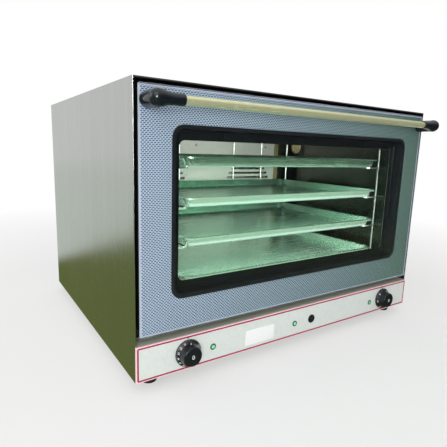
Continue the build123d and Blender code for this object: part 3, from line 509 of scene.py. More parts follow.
@dataclass(frozen=True)
class MetalFinish:
    """Bare or plated metal with grain and wiping marks."""

    name: str
    colour: Triple
    shade: Triple
    roughness: Pair
    stretch: Triple
    scale: float = 900.0
    bump: float = 0.03
    metallic: float = 1.0
    band_share: float = 0.45
    scratch_share: float = 0.35
    cloud_share: float = 0.4
    smudge_scale: float = 5.0

    def brush(self, look: Look) -> tuple[Socket, Socket, Socket]:
        """Brushes the metal with scratches, broader bands and wiped clouds.

        Args:
            look: The material's tree.

        Returns:
            The sockets of its colour, roughness and normal.
        """
        grain = look.effect(brushed_grain(), Stretch=self.stretch, Scale=self.scale)
        marks = look.effect(soft_smudge(), Scale=self.smudge_scale)
        scratched = look.calc("MULTIPLY", grain["Scratch"], self.scratch_share)
        share = look.calc("MULTIPLY_ADD", grain["Band"], self.band_share, scratched, clamp=True)
        low, high = self.roughness
        wiped = look.spread(marks["Cloud"], low, low + (high - low) * self.cloud_share)
        rough = look.calc("MULTIPLY_ADD", grain["Scratch"], (high - low) * (1 - self.cloud_share), wiped)
        normal = look.bump(self.bump, 1 * MM, grain["Scratch"])
        return look.blend(share, self.colour, self.shade), rough, normal

    def make(self) -> bpy.types.Material:
        """Builds the material.

        Returns:
            The finished material.
        """
        look = Look(self.name, self.colour)
        colour, rough, normal = self.brush(look)
        return look.finish(Base_Color=colour, Roughness=rough, Normal=normal, Metallic=self.metallic)


@dataclass(frozen=True, kw_only=True)
class PaintedPatchFinish(MetalFinish):
    """Steel turned black wherever the place lies inside a box, such as one side of a sheet: black enamel on
    the front frame and the door's back sheet, painted shade on the side and top sheets' inner faces in the
    gaps round the door.
    """

    low: Triple
    high: Triple
    paint: Triple = (0.012, 0.013, 0.017)
    paint_roughness: float = 0.30
    soft: float = 0.2 * MM

    def make(self) -> bpy.types.Material:
        """Builds the material: the patch is the least distance inside the box, held to 0 and 1.

        Returns:
            The finished material.
        """
        look = Look(self.name, self.colour)
        over = look.vector("SUBTRACT", look.place, self.low)
        under = look.vector("SUBTRACT", self.high, look.place)
        parts = look.split(look.vector("MINIMUM", over, under))
        inside = look.calc("MINIMUM", look.calc("MINIMUM", parts[0], parts[1]), parts[2])
        patch = look.ramp(inside, 0.0, self.soft)
        colour, rough, normal = self.brush(look)
        return look.finish(Base_Color=look.blend(patch, colour, self.paint),
                           Metallic=look.spread(patch, self.metallic, 0.0),
                           Roughness=look.between(patch, rough, self.paint_roughness), Normal=normal)


@dataclass(frozen=True)
class TrayFinish:
    """Pressed aluminium of trays one above the other, with painted light: paler at the front, along the
    bottom bend and on the lowest tray, with painted shade towards the back and up the front wall.
    """

    name: str = "tray_aluminium"
    # front and back: painted shade, the floor darkens from the front colour to the back colour deeper in the
    # oven
    front: Triple = (0.66, 0.93, 0.78)
    back: Triple = (0.28, 0.42, 0.34)
    # painted light: the lowest tray's floor turns paler below these heights
    least_used: Triple = (0.80, 0.98, 0.88)
    least_used_below: Pair = (0.24, 0.21)
    least_used_share: float = 0.65
    # bend: painted highlight along the bottom bend of the front wall; wall: painted shade higher up that
    # wall
    bend: Triple = (0.72, 0.90, 0.82)
    bend_ends: Pair = (0.007, 0.010)
    wall: Triple = (0.42, 0.60, 0.46)
    wall_starts: Pair = (-0.2703, -0.2708)
    depth: Pair = (-0.27, 0.08)
    lowest: float = 0.178
    pitch: float = 0.081
    stretch: Triple = (0.02, 1.0, 1.0)
    scale: float = 500.0
    roughness: Pair = (0.22, 0.25)
    scratch_roughness: float = 0.05
    smudge_scale: float = 5.0
    metallic: float = 0.75

    def make(self) -> bpy.types.Material:
        """Builds the material: the height over a tray's own underside repeats with the pitch.

        Returns:
            The finished material.
        """
        look = Look(self.name, self.front)
        grain = look.effect(brushed_grain(), Stretch=self.stretch, Scale=self.scale)
        marks = look.effect(soft_smudge(), Scale=self.smudge_scale)
        parts = look.split(look.place)
        height = look.calc("MODULO", look.calc("SUBTRACT", parts[2], self.lowest), self.pitch)
        # painted shade darkens the floor towards the back, and painted light makes the lowest tray paler
        pan = look.blend(look.ramp(parts[1], *self.depth), self.front, self.back)
        low_down = look.ramp(parts[2], *self.least_used_below, 0.0, self.least_used_share)
        pan = look.blend(low_down, pan, self.least_used)
        # painted highlight on the bottom bend, painted shade up the rest of the front wall
        outer = look.blend(look.ramp(height, *self.bend_ends), self.bend, self.wall)
        rough = look.calc("MULTIPLY_ADD", grain["Scratch"], self.scratch_roughness,
                          look.spread(marks["Cloud"], *self.roughness))
        return look.finish(Base_Color=look.blend(look.ramp(parts[1], *self.wall_starts), pan, outer),
                           Roughness=rough, Metallic=self.metallic)


@dataclass(frozen=True)
class SkinFinish:
    """Paint, moulded plastic or rubber with a pebbled skin and handling marks."""

    name: str
    colour: Triple
    shade: Triple
    roughness: float
    spread: float
    scale: float
    bump: float
    coat: float = 0.0
    coat_roughness: float = 0.06
    specular: float = 0.5
    smudge_scale: float = 9.0
    wear_share: float = 0.5

    def make(self) -> bpy.types.Material:
        """Builds the material: it is worn where there are streaks and spots, with equal shares.

        Returns:
            The finished material.
        """
        look = Look(self.name, self.colour)
        skin = look.effect(pebbled_skin(), Scale=self.scale)
        marks = look.effect(soft_smudge(), Scale=self.smudge_scale)
        spotted = look.calc("MULTIPLY", skin["Spot"], self.wear_share)
        worn = look.calc("MULTIPLY_ADD", marks["Streak"], self.wear_share, spotted, clamp=True)
        rough = look.spread(marks["Cloud"], self.roughness, self.roughness + self.spread)
        return look.finish(Base_Color=look.blend(worn, self.colour, self.shade), Roughness=rough,
                           Normal=look.bump(self.bump, 0.5 * MM, skin["Height"]), Coat_Weight=self.coat,
                           Coat_Roughness=self.coat_roughness, Specular_IOR_Level=self.specular)


@dataclass(frozen=True)
class GlassFinish:
    """Clear or coloured glass that lets lamp rays through to what is behind it."""

    name: str
    tint: Triple
    specular: float
    roughness: float = 0.0
    # painted highlight: emission that stands in for highlights on the glass
    glow: Triple = (0.0, 0.0, 0.0)
    glow_strength: float = 0.0
    ior: float = 1.46
    haze: float = 0.012
    streak_shade: float = 0.97
    smudge_scale: float = 7.0

    def make(self) -> bpy.types.Material:
        """Builds the material.

        Returns:
            The finished material.
        """
        look = Look(self.name, self.tint)
        marks = look.effect(soft_smudge(), Scale=self.smudge_scale)
        shade = tuple(part * self.streak_shade for part in self.tint)
        clear = look.add("BsdfTransparent", {0: tuple(math.sqrt(part) for part in self.tint)})
        path = look.add("LightPath").outputs
        passes = look.calc("MAXIMUM", path[Ray.SHADOW.value], path[Ray.DIFFUSE.value])
        look.feed(look.out, {0: look.either(passes, look.shader, clear).outputs[0]})
        rough = look.spread(marks["Cloud"], self.roughness, self.roughness + self.haze)
        return look.finish(Base_Color=look.blend(marks["Streak"], self.tint, shade), Roughness=rough,
                           Transmission_Weight=1.0, IOR=self.ior, Specular_IOR_Level=self.specular,
                           Emission_Color=self.glow, Emission_Strength=self.glow_strength)


@dataclass(frozen=True)
class BorderPrintFinish:
    """Staggered short dashes printed on a pale ground behind the door's outer glass, with painted light and
    shade: paler and bluer at the left, darker and greener at the right.
    """

    name: str = "border_print"
    # left and right colours: painted light at the left, painted shade at the right; the dashes' ink shades
    # the same way
    ground_left: Triple = (0.52, 0.60, 0.80)
    ground_right: Triple = (0.19, 0.30, 0.26)
    ink_left: Triple = (0.04, 0.055, 0.10)
    ink_right: Triple = (0.015, 0.03, 0.03)
    row_pitch: float = 3.2 * MM
    dot_pitch: float = 6.4 * MM
    dot_edge: Pair = (0.36, 0.30)
    margin: Pair = (4.0 * MM, 3.6 * MM)
    margin_tint: Triple = (0.66, 0.62, 0.86)
    middle: Triple = (0.0, 0.0, 0.336)
    half: Triple = (0.408, 1.0, 0.226)
    roughness: Pair = (0.5, 0.62)
    smudge_scale: float = 5.0

    def make(self) -> bpy.types.Material:
        """Builds the material: one row's dots stand over the gaps of the next, with a plain margin.

        Returns:
            The finished material.
        """
        look = Look(self.name, self.ground_left)
        plain = look.ramp(look.rim_distance(self.middle, self.half), *self.margin)
        parts = look.split(look.place)
        row = look.calc("DIVIDE", parts[2], self.row_pitch)
        odd = look.calc("MODULO", look.calc("ABSOLUTE", look.calc("FLOOR", row)), 2.0)
        shift = look.calc("MULTIPLY", odd, 0.5)
        column = look.calc("ADD", look.calc("DIVIDE", parts[0], self.dot_pitch), shift)
        ink = look.calc("MULTIPLY", *(self.dot(look, count) for count in (column, row)))
        # painted light and shade across the door, from the left colours to the right ones
        side = look.ramp(parts[0], -self.half[0], self.half[0])
        ground = look.blend(side, self.ground_left, self.ground_right)
        dotted = look.blend(ink, ground, look.blend(side, self.ink_left, self.ink_right))
        marks = look.effect(soft_smudge(), Scale=self.smudge_scale)
        return look.finish(Base_Color=look.blend(plain, dotted, self.margin_tint),
                           Roughness=look.spread(marks["Cloud"], *self.roughness))

    def dot(self, look: Look, count: Socket) -> Socket:
        """A mask of 1 where a count of pitches is near the middle of its pitch, fading to 0.

        Args:
            look: The material's tree.
            count: Number of pitches from the origin.

        Returns:
            The mask's socket.
        """
        off = look.calc("ABSOLUTE", look.calc("SUBTRACT", look.calc("FRACT", count), 0.5))
        return look.ramp(off, *self.dot_edge)


@dataclass(frozen=True)
class PanelFinish:
    """Pale enamel of the control panel with a rosy margin round its printed line."""

    name: str
    middle: Triple
    half: Triple
    margin: Pair = (4.2 * MM, 3.78 * MM)
    enamel: Triple = (0.68, 0.72, 0.69)
    shade: Triple = (0.63, 0.68, 0.64)
    rose: Triple = (0.86, 0.62, 0.66)
    roughness: Pair = (0.30, 0.42)
    smudge_scale: float = 8.0
    skin_scale: float = 2200.0
    bump: float = 0.02

    def make(self) -> bpy.types.Material:
        """Builds the material: the margin is where the distance to the panel's edge is small.

        Returns:
            The finished material.
        """
        look = Look(self.name, self.enamel)
        near = look.ramp(look.rim_distance(self.middle, self.half), *self.margin)
        marks = look.effect(soft_smudge(), Scale=self.smudge_scale)
        skin = look.effect(pebbled_skin(), Scale=self.skin_scale)
        enamel = look.blend(marks["Streak"], self.enamel, self.shade)
        return look.finish(Base_Color=look.blend(near, enamel, self.rose),
                           Roughness=look.spread(marks["Cloud"], *self.roughness),
                           Normal=look.bump(self.bump, 0.5 * MM, skin["Height"]))


@dataclass(frozen=True)
class WoolFinish:
    """Mineral wool: long soft fibres with darker binder between them."""

    name: str = "mineral_wool"
    colour: Triple = (0.62, 0.52, 0.24)
    shade: Triple = (0.38, 0.30, 0.12)
    roughness: Pair = (0.85, 1.0)
    fibre_share: float = 0.6
    fibre_stretch: Triple = (0.15, 1.0, 1.0)
    fibre_scale: float = 350.0
    clump_scale: float = 30.0
    bump: float = 0.8
    sheen: float = 0.3

    def make(self) -> bpy.types.Material:
        """Builds the material.

        Returns:
            The finished material.
        """
        look = Look(self.name, self.colour)
        fibre = look.effect(brushed_grain(), Stretch=self.fibre_stretch, Scale=self.fibre_scale)
        clouds = look.effect(soft_smudge(), Scale=self.clump_scale)
        clumps = look.calc("MULTIPLY", clouds["Streak"], 1 - self.fibre_share)
        share = look.calc("MULTIPLY_ADD", fibre["Scratch"], self.fibre_share, clumps, clamp=True)
        return look.finish(Base_Color=look.blend(share, self.colour, self.shade),
                           Roughness=look.spread(share, *self.roughness), Sheen_Weight=self.sheen,
                           Normal=look.bump(self.bump, 2 * MM, fibre["Scratch"]))


@dataclass
class Finishes:
    """Every finish of the oven by its working name."""

    made: dict[str, bpy.types.Material] = field(default_factory=dict)

    def build(self) -> None:
        """Makes all materials."""
        upright, lengthways, round_bar, even = (1, 1, 0.02), (0.02, 1, 1), (0.03, 1, 1), (1, 1, 1)
        sheet, sheet_shade = (0.62, 0.64, 0.61), (0.56, 0.58, 0.55)
        metals = (
            MetalFinish("casing_steel", sheet, sheet_shade, (0.20, 0.30), upright),
            # cavity_steel: painted shade, the cavity's stainless walls darkened; baffle_steel: painted
            # light, the same stainless made pale and dull as if lit from the front
            MetalFinish("cavity_steel", (0.13, 0.13, 0.12), (0.09, 0.09, 0.08), (0.20, 0.30), lengthways),
            MetalFinish("baffle_steel", (0.94, 0.88, 0.84), (0.88, 0.82, 0.78), (0.42, 0.55), lengthways,
                        metallic=0.25),
            MetalFinish("sill_steel", (0.40, 0.43, 0.34), (0.33, 0.36, 0.28), (0.28, 0.40), lengthways),
            MetalFinish("galvanised_sheet", (0.60, 0.62, 0.63), (0.46, 0.48, 0.50), (0.34, 0.50),
                        (1, 0.6, 0.8), 60.0, 0.02),
            MetalFinish("turned_steel", (0.60, 0.60, 0.59), (0.44, 0.44, 0.43), (0.25, 0.38), even, 500.0),
            MetalFinish("rack_wire", (0.82, 0.82, 0.79), (0.66, 0.66, 0.62), (0.12, 0.24), even, 300.0),
            # handle_steel: brushed steel whose yellow-olive tint is a painted reflection of the olive bench
            MetalFinish("handle_steel", (0.78, 0.80, 0.50), (0.70, 0.72, 0.44), (0.20, 0.30), round_bar,
                        700.0, metallic=0.6),
            MetalFinish("heated_tube", (0.30, 0.28, 0.26), (0.16, 0.15, 0.19), (0.35, 0.5), even, 90.0),
            MetalFinish("turned_brass", (0.72, 0.55, 0.26), (0.55, 0.40, 0.17), (0.22, 0.36), even, 400.0),
            MetalFinish("drawn_copper", (0.76, 0.42, 0.28), (0.52, 0.26, 0.16), (0.24, 0.38), even, 200.0),
        )
        black_patches = (
            # side_sheet: the black patch on the side sheets' inner faces near the front is painted shade in
            # the door's side gaps
            PaintedPatchFinish("side_sheet", sheet, sheet_shade, (0.20, 0.30), upright,
                               low=(-0.4166, -0.3226, 0.0965), high=(0.4166, -0.2885, 0.5715)),
            # top_sheet: the black patch under the top sheet's front is painted shade in the gap over the
            # door
            PaintedPatchFinish("top_sheet", (0.66, 0.67, 0.65), (0.58, 0.60, 0.57), (0.24, 0.36), lengthways,
                               low=(-0.4145, -0.3218, 0.5), high=(0.4145, -0.2885, 0.5712)),
            # frame_sheet: black enamel above the sill; below it the sill's steel is tinted olive and made
            # dull, a painted reflection of the olive bench in front
            PaintedPatchFinish("frame_sheet", (0.78, 0.82, 0.66), (0.70, 0.74, 0.58), (0.34, 0.46),
                               lengthways, metallic=0.3, low=(-1.0, -1.0, 0.0962), high=(1.0, 1.0, 1.0)),
            PaintedPatchFinish("door_back_sheet", sheet, sheet_shade, (0.22, 0.32), upright,
                               low=(-1.0, -1.0, 0.0), high=(1.0, -0.2951, 1.0)),
        )
        skins = (
            SkinFinish("panel_line_ink", (0.40, 0.014, 0.07), (0.33, 0.01, 0.06), 0.35, 0.1, 2200.0, 0.02),
            SkinFinish("plate_enamel", (0.90, 0.92, 0.92), (0.86, 0.88, 0.88), 0.18, 0.08, 2600.0, 0.01,
                       0.6),
            SkinFinish("label_ink", (0.06, 0.06, 0.07), (0.10, 0.10, 0.11), 0.5, 0.1, 2200.0, 0.02),
            SkinFinish("dial_ink", (0.86, 0.86, 0.92), (0.76, 0.76, 0.82), 0.4, 0.1, 2200.0, 0.02),
            SkinFinish("black_enamel", (0.012, 0.013, 0.017), (0.022, 0.024, 0.03), 0.30, 0.15, 1800.0, 0.02,
                       specular=0.3),
            SkinFinish("black_bakelite", (0.006, 0.009, 0.012), (0.012, 0.020, 0.024), 0.22, 0.12, 1600.0,
                       0.02, 0.3),
            SkinFinish("green_collar", (0.010, 0.075, 0.035), (0.016, 0.10, 0.05), 0.3, 0.1, 1600.0, 0.02),
            SkinFinish("pale_moulding", (0.66, 0.67, 0.64), (0.58, 0.59, 0.56), 0.45, 0.12, 1200.0, 0.05),
            SkinFinish("foot_rubber", (0.016, 0.016, 0.018), (0.035, 0.035, 0.036), 0.62, 0.15, 900.0, 0.12),
            SkinFinish("silicone_seal", (0.03, 0.031, 0.033), (0.05, 0.05, 0.052), 0.48, 0.15, 1500.0, 0.05),
            SkinFinish("ground_edge", (0.62, 0.72, 0.68), (0.50, 0.62, 0.58), 0.45, 0.1, 2600.0, 0.03),
            SkinFinish("motor_paint", (0.035, 0.037, 0.042), (0.06, 0.06, 0.065), 0.42, 0.16, 800.0, 0.08),
        )
        glasses = (
            GlassFinish("door_glass", (0.93, 0.985, 0.95), 0.22),
            GlassFinish("inner_door_glass", (0.92, 0.98, 0.94), 0.15),
            # lamp_glass glows faintly warm though the oven lamp is off, a painted highlight on the lens and
            # bulb; green_lens glows as a painted highlight in the pilot lights' middles
            GlassFinish("lamp_glass", (0.96, 0.90, 0.72), 0.5, 0.10, (1.0, 0.80, 0.42), 0.04),
            GlassFinish("green_lens", (0.35, 0.80, 0.50), 0.5, 0.08, (0.35, 0.90, 0.55), 0.45),
        )
        low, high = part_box("control_panel")
        panel = PanelFinish("panel_enamel_with_margin", tuple((low + high) / 2), tuple((high - low) / 2))
        for finish in (*metals, *black_patches, *skins, *glasses, TrayFinish(), BorderPrintFinish(), panel,
                       WoolFinish()):
            self.made[finish.name] = finish.make()
            LOG.info("finish %s", finish.name)

    def __getitem__(self, name: str) -> bpy.types.Material:
        """The material of that working name."""
        return self.made[name]

    def dress(self, name: str, *nodes: str) -> None:
        """Gives CAD nodes a finish.

        Args:
            name: Working name of the finish.
            *nodes: CAD nodes that take it.
        """
        for node in nodes:
            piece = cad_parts[node]
            if not piece.material_slots:
                piece.data.materials.append(self.made[name])
            for holder in piece.material_slots:
                holder.material = self.made[name]


# The room


@dataclass
class Studio:
    """Camera at the photograph's place, pale floor, soft lamps and the surroundings seen in metal."""

    eye: Triple = (-0.664, -0.9755, 0.457)
    ahead: Triple = (0.5438, 0.8195, -0.1810)
    across: Triple = (0.8359, -0.5480, 0.0302)
    lens: float = 32.3
    sensor: float = 36.0
    sight: float = 60.0
    floor_half: float = 9.0
    floor_colour: Triple = (0.86, 0.86, 0.85)
    floor_fades: Ramp = (0.75, 2.2, 0.5, 1.0)
    far_floor_starts: Triple = (-0.66, 0.79, 0.0)
    far_floor_way: Triple = (0.5, 0.87, 0.0)
    far_floor_edge: Pair = (-0.05, 0.07)
    far_floor: Triple = (0.62, 0.66, 0.62)
    near_floor: Triple = (0.134, 0.165, 0.050)
    front_floor: Triple = (0.050, 0.058, 0.030)
    front_floor_x: Pair = (-0.35, -0.20)
    front_floor_y: Pair = (-0.30, -0.36)
    bench_ends: Pair = (-1.35, -1.05)
    past_bench: Triple = (0.008, 0.009, 0.009)
    white: Triple = (1.0, 1.0, 1.0)
    behind_light: Ramp = (-0.5, 0.7, 0.02, 0.72)
    above_light: Ramp = (0.25, 0.8, 0.0, 0.8)
    dull_light: float = 0.62
    horizon: Pair = (-0.05, 0.05)
    lamps: tuple[tuple[str, Triple, Triple, Pair, float], ...] = (
        ("key_lamp", (-1.9, -2.0, 2.1), (0.0, -0.1, 0.3), (2.2, 2.2), 16.0),
        ("front_lamp", (-1.9, -2.9, 0.75), (0.0, 0.0, 0.3), (0.9, 0.9), 46.0),
        ("left_lamp", (-2.6, 0.6, 1.4), (-0.3, 0.1, 0.3), (1.6, 1.6), 10.0),
        ("mouth_lamp", (0.0, -0.262, 0.33), (0.0, 0.2, 0.33), (0.64, 0.37), 2.7),
        ("rim_lamp", (0.0, -0.289, 0.26), (0.0, 0.2, 0.26), (0.66, 0.26), 0.45),
    )

    def build(self) -> None:
        """Makes the camera, the floor, the world and the lamps."""
        self.place_camera()
        self.lay_floor()
        self.paint_world()
        for lamp in self.lamps:
            self.hang_lamp(*lamp)
        bpy.context.scene.view_settings.view_transform = "Standard"

    def place_camera(self) -> None:
        """Puts the camera where the photograph was taken from."""
        ahead = Vector(self.ahead).normalized()
        across = Vector(self.across)
        across = (across - ahead * across.dot(ahead)).normalized()
        upward = across.cross(ahead)
        lens = bpy.data.cameras.new("photo_camera")
        lens.lens, lens.sensor_width, lens.clip_end = self.lens, self.sensor, self.sight
        camera = bpy.data.objects.new("photo_camera", lens)
        turn = Matrix((across, upward, -ahead)).transposed().to_4x4()
        camera.matrix_world = Matrix.Translation(self.eye) @ turn
        bpy.context.scene.collection.objects.link(camera)
        bpy.context.scene.camera = camera

    def lay_floor(self) -> None:
        """Lays the pale floor. In metal and glass its front part shows the bench that it stands for."""
        h = self.floor_half
        mesh = bpy.data.meshes.new("floor")
        mesh.from_pydata([(-h, -h, 0), (h, -h, 0), (h, h, 0), (-h, h, 0)], [], [(0, 1, 2, 3)])
        mesh.materials.append(self.floor_material())
        floor = bpy.data.objects.new("floor", mesh)
        bpy.context.scene.collection.objects.link(floor)

    def floor_material(self) -> bpy.types.Material:
        """The floor: diffuse with its shadow near the oven, turning plain white further away.

        Returns:
            The finished material.
        """
        look = Look("pale_floor", (0.9, 0.9, 0.9))
        path = look.add("LightPath").outputs
        white = look.add("Emission", {0: self.white, 1: 1.0})
        faded = look.ramp(look.measure("LENGTH", look.place), *self.floor_fades)
        seen = look.either(faded, look.shader, white)
        start = look.vector("SUBTRACT", look.place, self.far_floor_starts)
        beyond = look.measure("DOT_PRODUCT", start, self.far_floor_way)
        mirrored = look.blend(look.ramp(beyond, *self.far_floor_edge), self.near_floor, self.far_floor)
        aside, along, _ = look.split(look.place)
        in_front = look.calc("MULTIPLY", look.ramp(aside, *self.front_floor_x),
                             look.ramp(along, *self.front_floor_y))
        mirrored = look.blend(in_front, mirrored, self.front_floor)
        mirrored = look.blend(look.ramp(along, *self.bench_ends), self.past_bench, mirrored)
        bench = look.add("Emission", {0: mirrored, 1: 1.0})
        direct = look.calc("MAXIMUM", path[Ray.CAMERA.value], path[Ray.TRANSMISSION.value])
        last = look.either(path[Ray.GLOSSY.value], look.either(direct, look.shader, seen), bench)
        look.feed(look.out, {0: last.outputs[0]})
        return look.finish(Base_Color=self.floor_colour, Roughness=0.9, Specular_IOR_Level=0.1)

    def paint_world(self) -> None:
        """The surroundings: white to the eye, soft on dull surfaces, darker behind the camera in metal.

        What leaves the glass towards the back sees white, and what leaves it towards the camera's
        side was mirrored inside it, so it sees the same dark side as metal does.
        """
        world = bpy.data.worlds.new("studio")
        world.use_nodes = True
        bpy.context.scene.world = world
        tree = Tree(world.node_tree)
        path = tree.add("LightPath").outputs
        parts = tree.split(tree.add("TexCoord").outputs["Generated"])
        mirrored = tree.calc("MAXIMUM", tree.ramp(parts[1], *self.behind_light),
                             tree.ramp(parts[2], *self.above_light))
        strength = tree.between(path[Ray.GLOSSY.value], self.dull_light, mirrored)
        soft = tree.add("Background", {0: self.white, 1: strength})
        white = tree.add("Background", {0: self.white, 1: 1.0})
        through = tree.calc("MULTIPLY", path[Ray.TRANSMISSION.value], tree.ramp(parts[1], *self.horizon))
        direct = tree.calc("MAXIMUM", path[Ray.CAMERA.value], through)
        tree.add("OutputWorld", {0: tree.either(direct, soft, white).outputs[0]})

    def hang_lamp(self, name: str, place: Triple, aim: Triple, size: Pair, power: float) -> None:
        """Hangs one soft rectangular lamp. It shines from its front only and can't be seen from behind.

        Args:
            name: Name of the lamp.
            place: Where it hangs.
            aim: Point that it faces.
            size: Its width and height.
            power: Watts.
        """
        light = bpy.data.lights.new(name, "AREA")
        light.shape, light.energy = "RECTANGLE", power
        light.size, light.size_y = size
        lamp = bpy.data.objects.new(name, light)
        way = Vector(aim) - Vector(place)
        lamp.matrix_world = Matrix.Translation(place) @ way.to_track_quat("-Z", "Y").to_matrix().to_4x4()
        bpy.context.scene.collection.objects.link(lamp)


# Sub-assemblies


@dataclass
class Casing:
    """The outer sheets, what stands on the back, the feet and all screws."""

    finishes: Finishes
    screw_head: float = 4.0 * MM
    screw_rise: float = 2.4 * MM
    screw_shank: float = 2.0 * MM
    slot_half: float = 0.17
    slot_end: float = 0.60
    screw_sides: int = 40
    head_rings: int = 13
    shank_rings: int = 26
    recess_turn: float = 0.7
    short_screw: float = 9.0 * MM
    long_screw: float = 14.0 * MM
    thread_pitch: float = 1.3 * MM
    thread_middle: float = 0.9
    thread_depth: float = 0.12
    shank_end: float = 0.75
    foot_half: float = 20.0 * MM
    foot_roof: float = 15.0 * MM
    panel_screw_inset: float = 13.7 * MM
    panel_screws_up: Triple = (63.0 * MM, 297.5 * MM, 552.0 * MM)
    cover_screws: Pair = (84.0 * MM, 252.0 * MM)
    cover_screws_up: float = 157.0 * MM
    baffle_screws: Triple = (-235.0 * MM, -40.0 * MM, 235.0 * MM)
    baffle_screws_up: float = 469.0 * MM
    inlet_radius: float = 13.2 * MM
    inlet_length: float = 24.0 * MM
    inlet_bore: float = 8.0 * MM
    inlet_pitch: float = 1.8 * MM
    inlet_thread: float = 0.35 * MM
    inlet_thread_end: float = 1.5 * MM
    inlet_neck: float = 12.7 * MM
    inlet_tip: float = 11.7 * MM
    inlet_bore_depth: float = 22.0 * MM
    inlet_bevel: float = 0.6 * MM
    inlet_crease: float = 40.0
    hexagon: float = 17.2 * MM
    hexagon_height: float = 4.0 * MM
    hexagon_chamfer: Pair = (1.0 * MM, 0.8 * MM)
    back_sheet: float = 1.2 * MM

    def build(self) -> None:
        """Dresses the sheets and makes the screws and the inlet."""
        dress = self.finishes.dress
        dress("side_sheet", "side_panel_left", "side_panel_right")
        dress("top_sheet", "top_panel")
        dress("galvanised_sheet", "base_pan", "rear_panel", "rear_cover", "hinge_brackets")
        dress("frame_sheet", "front_frame")
        dress("foot_rubber", "feet")
        dress("black_bakelite", "cable_gland")
        dress("casing_steel", "vent_pipe")
        dress("pale_moulding", "terminal_block")
        dress("turned_brass", "steam_valve")
        dress("drawn_copper", "water_pipe")
        self.make_screws()
        self.make_inlet()

    def screw_shape(self, place: Vector, way: Vector, length: float, turn: float) -> Shape:
        """One pan head screw with a cross recess and a thread.

        The head's height over a point at radius r is a dome, the rise times (0.35 + 0.65 times
        the square root of 1 - 0.8 (r / R)^2), less half the rise where the point is inside one of
        two crossed slots. The thread's radius follows the cosine of the angle less the distance
        over the pitch.

        Args:
            place: Centre of the head's underside.
            way: Unit vector out of the head.
            length: Length of the shank.
            turn: Angle by which the recess is turned.

        Returns:
            Points and faces.
        """
        one, angle = np.ones((1, self.screw_sides)), ring_angles(self.screw_sides)
        share = np.linspace(0, 1, self.head_rings)[:, None]
        radius = self.screw_head * share * one
        x, y = np.abs(radius * np.cos(angle + turn)), np.abs(radius * np.sin(angle + turn))
        narrow, wide = np.minimum(x, y) / self.screw_head, np.maximum(x, y) / self.screw_head
        inside = (narrow < self.slot_half) & (wide < self.slot_end)
        dome = 0.35 + 0.65 * np.sqrt(1 - 0.8 * share ** 2)
        rise = self.screw_rise * (dome * one - 0.5 * inside)
        down = np.linspace(0, 1, self.shank_rings)[:, None]
        wave = np.cos(angle - TURN * down * length / self.thread_pitch)
        shank = self.screw_shank * (self.thread_middle + self.thread_depth * wave)
        shank[0] = shank[-1] = self.screw_shank * self.shank_end
        radii = np.concatenate([radius, radius[-1:], shank])
        heights = np.concatenate([rise, 0 * one, -down * length * one])
        first = way.orthogonal().normalized()
        second = way.cross(first)
        spoke = np.cos(angle)[:, None] * np.array(first) + np.sin(angle)[:, None] * np.array(second)
        points = np.array(place) + heights[:, :, None] * np.array(way) + radii[:, :, None] * spoke
        return points.reshape(-1, 3), capped_faces(len(radii), self.screw_sides, False)

    def screw_places(self) -> list[tuple[Vector, Vector, float]]:
        """Finds where the screws sit on the sheets that they hold.

        Returns:
            The place, direction and shank length of each.
        """
        feet_low, feet_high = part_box("feet")
        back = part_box("rear_panel")[1]
        cover_low, cover_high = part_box("rear_cover")
        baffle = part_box("fan_baffle")[0]
        out, front, down = Vector((0, 1, 0)), Vector((0, -1, 0)), Vector((0, 0, -1))
        sides, short, long = (-1, 1), self.short_screw, self.long_screw
        column, edge = feet_high.x - self.foot_half, back.x - self.panel_screw_inset
        rows = (feet_low.y + self.foot_half, feet_high.y - self.foot_half)
        centre = (cover_low.z + cover_high.z) / 2
        heights = [centre + side * self.cover_screws_up for side in sides]
        places = [(Vector((s * column, y, self.foot_roof)), down, long) for s in sides for y in rows]
        places += [(Vector((s * edge, back.y, z)), out, short) for s in sides for z in self.panel_screws_up]
        places += [(Vector((s * x, back.y + self.back_sheet, z)), out, short)
                   for s in sides for x in self.cover_screws for z in heights]
        places += [(Vector((x, baffle.y, self.baffle_screws_up)), front, short) for x in self.baffle_screws]
        return places

    def make_screws(self) -> None:
        """Makes all screws as one piece, each with its recess turned a little further."""
        shapes = [self.screw_shape(place, way, length, self.recess_turn * k)
                  for k, (place, way, length) in enumerate(self.screw_places())]
        piece = make_piece("cross_head_screws", join_parts(shapes), Body.CASING,
                           self.finishes["turned_steel"])
        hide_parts("casing_screws")

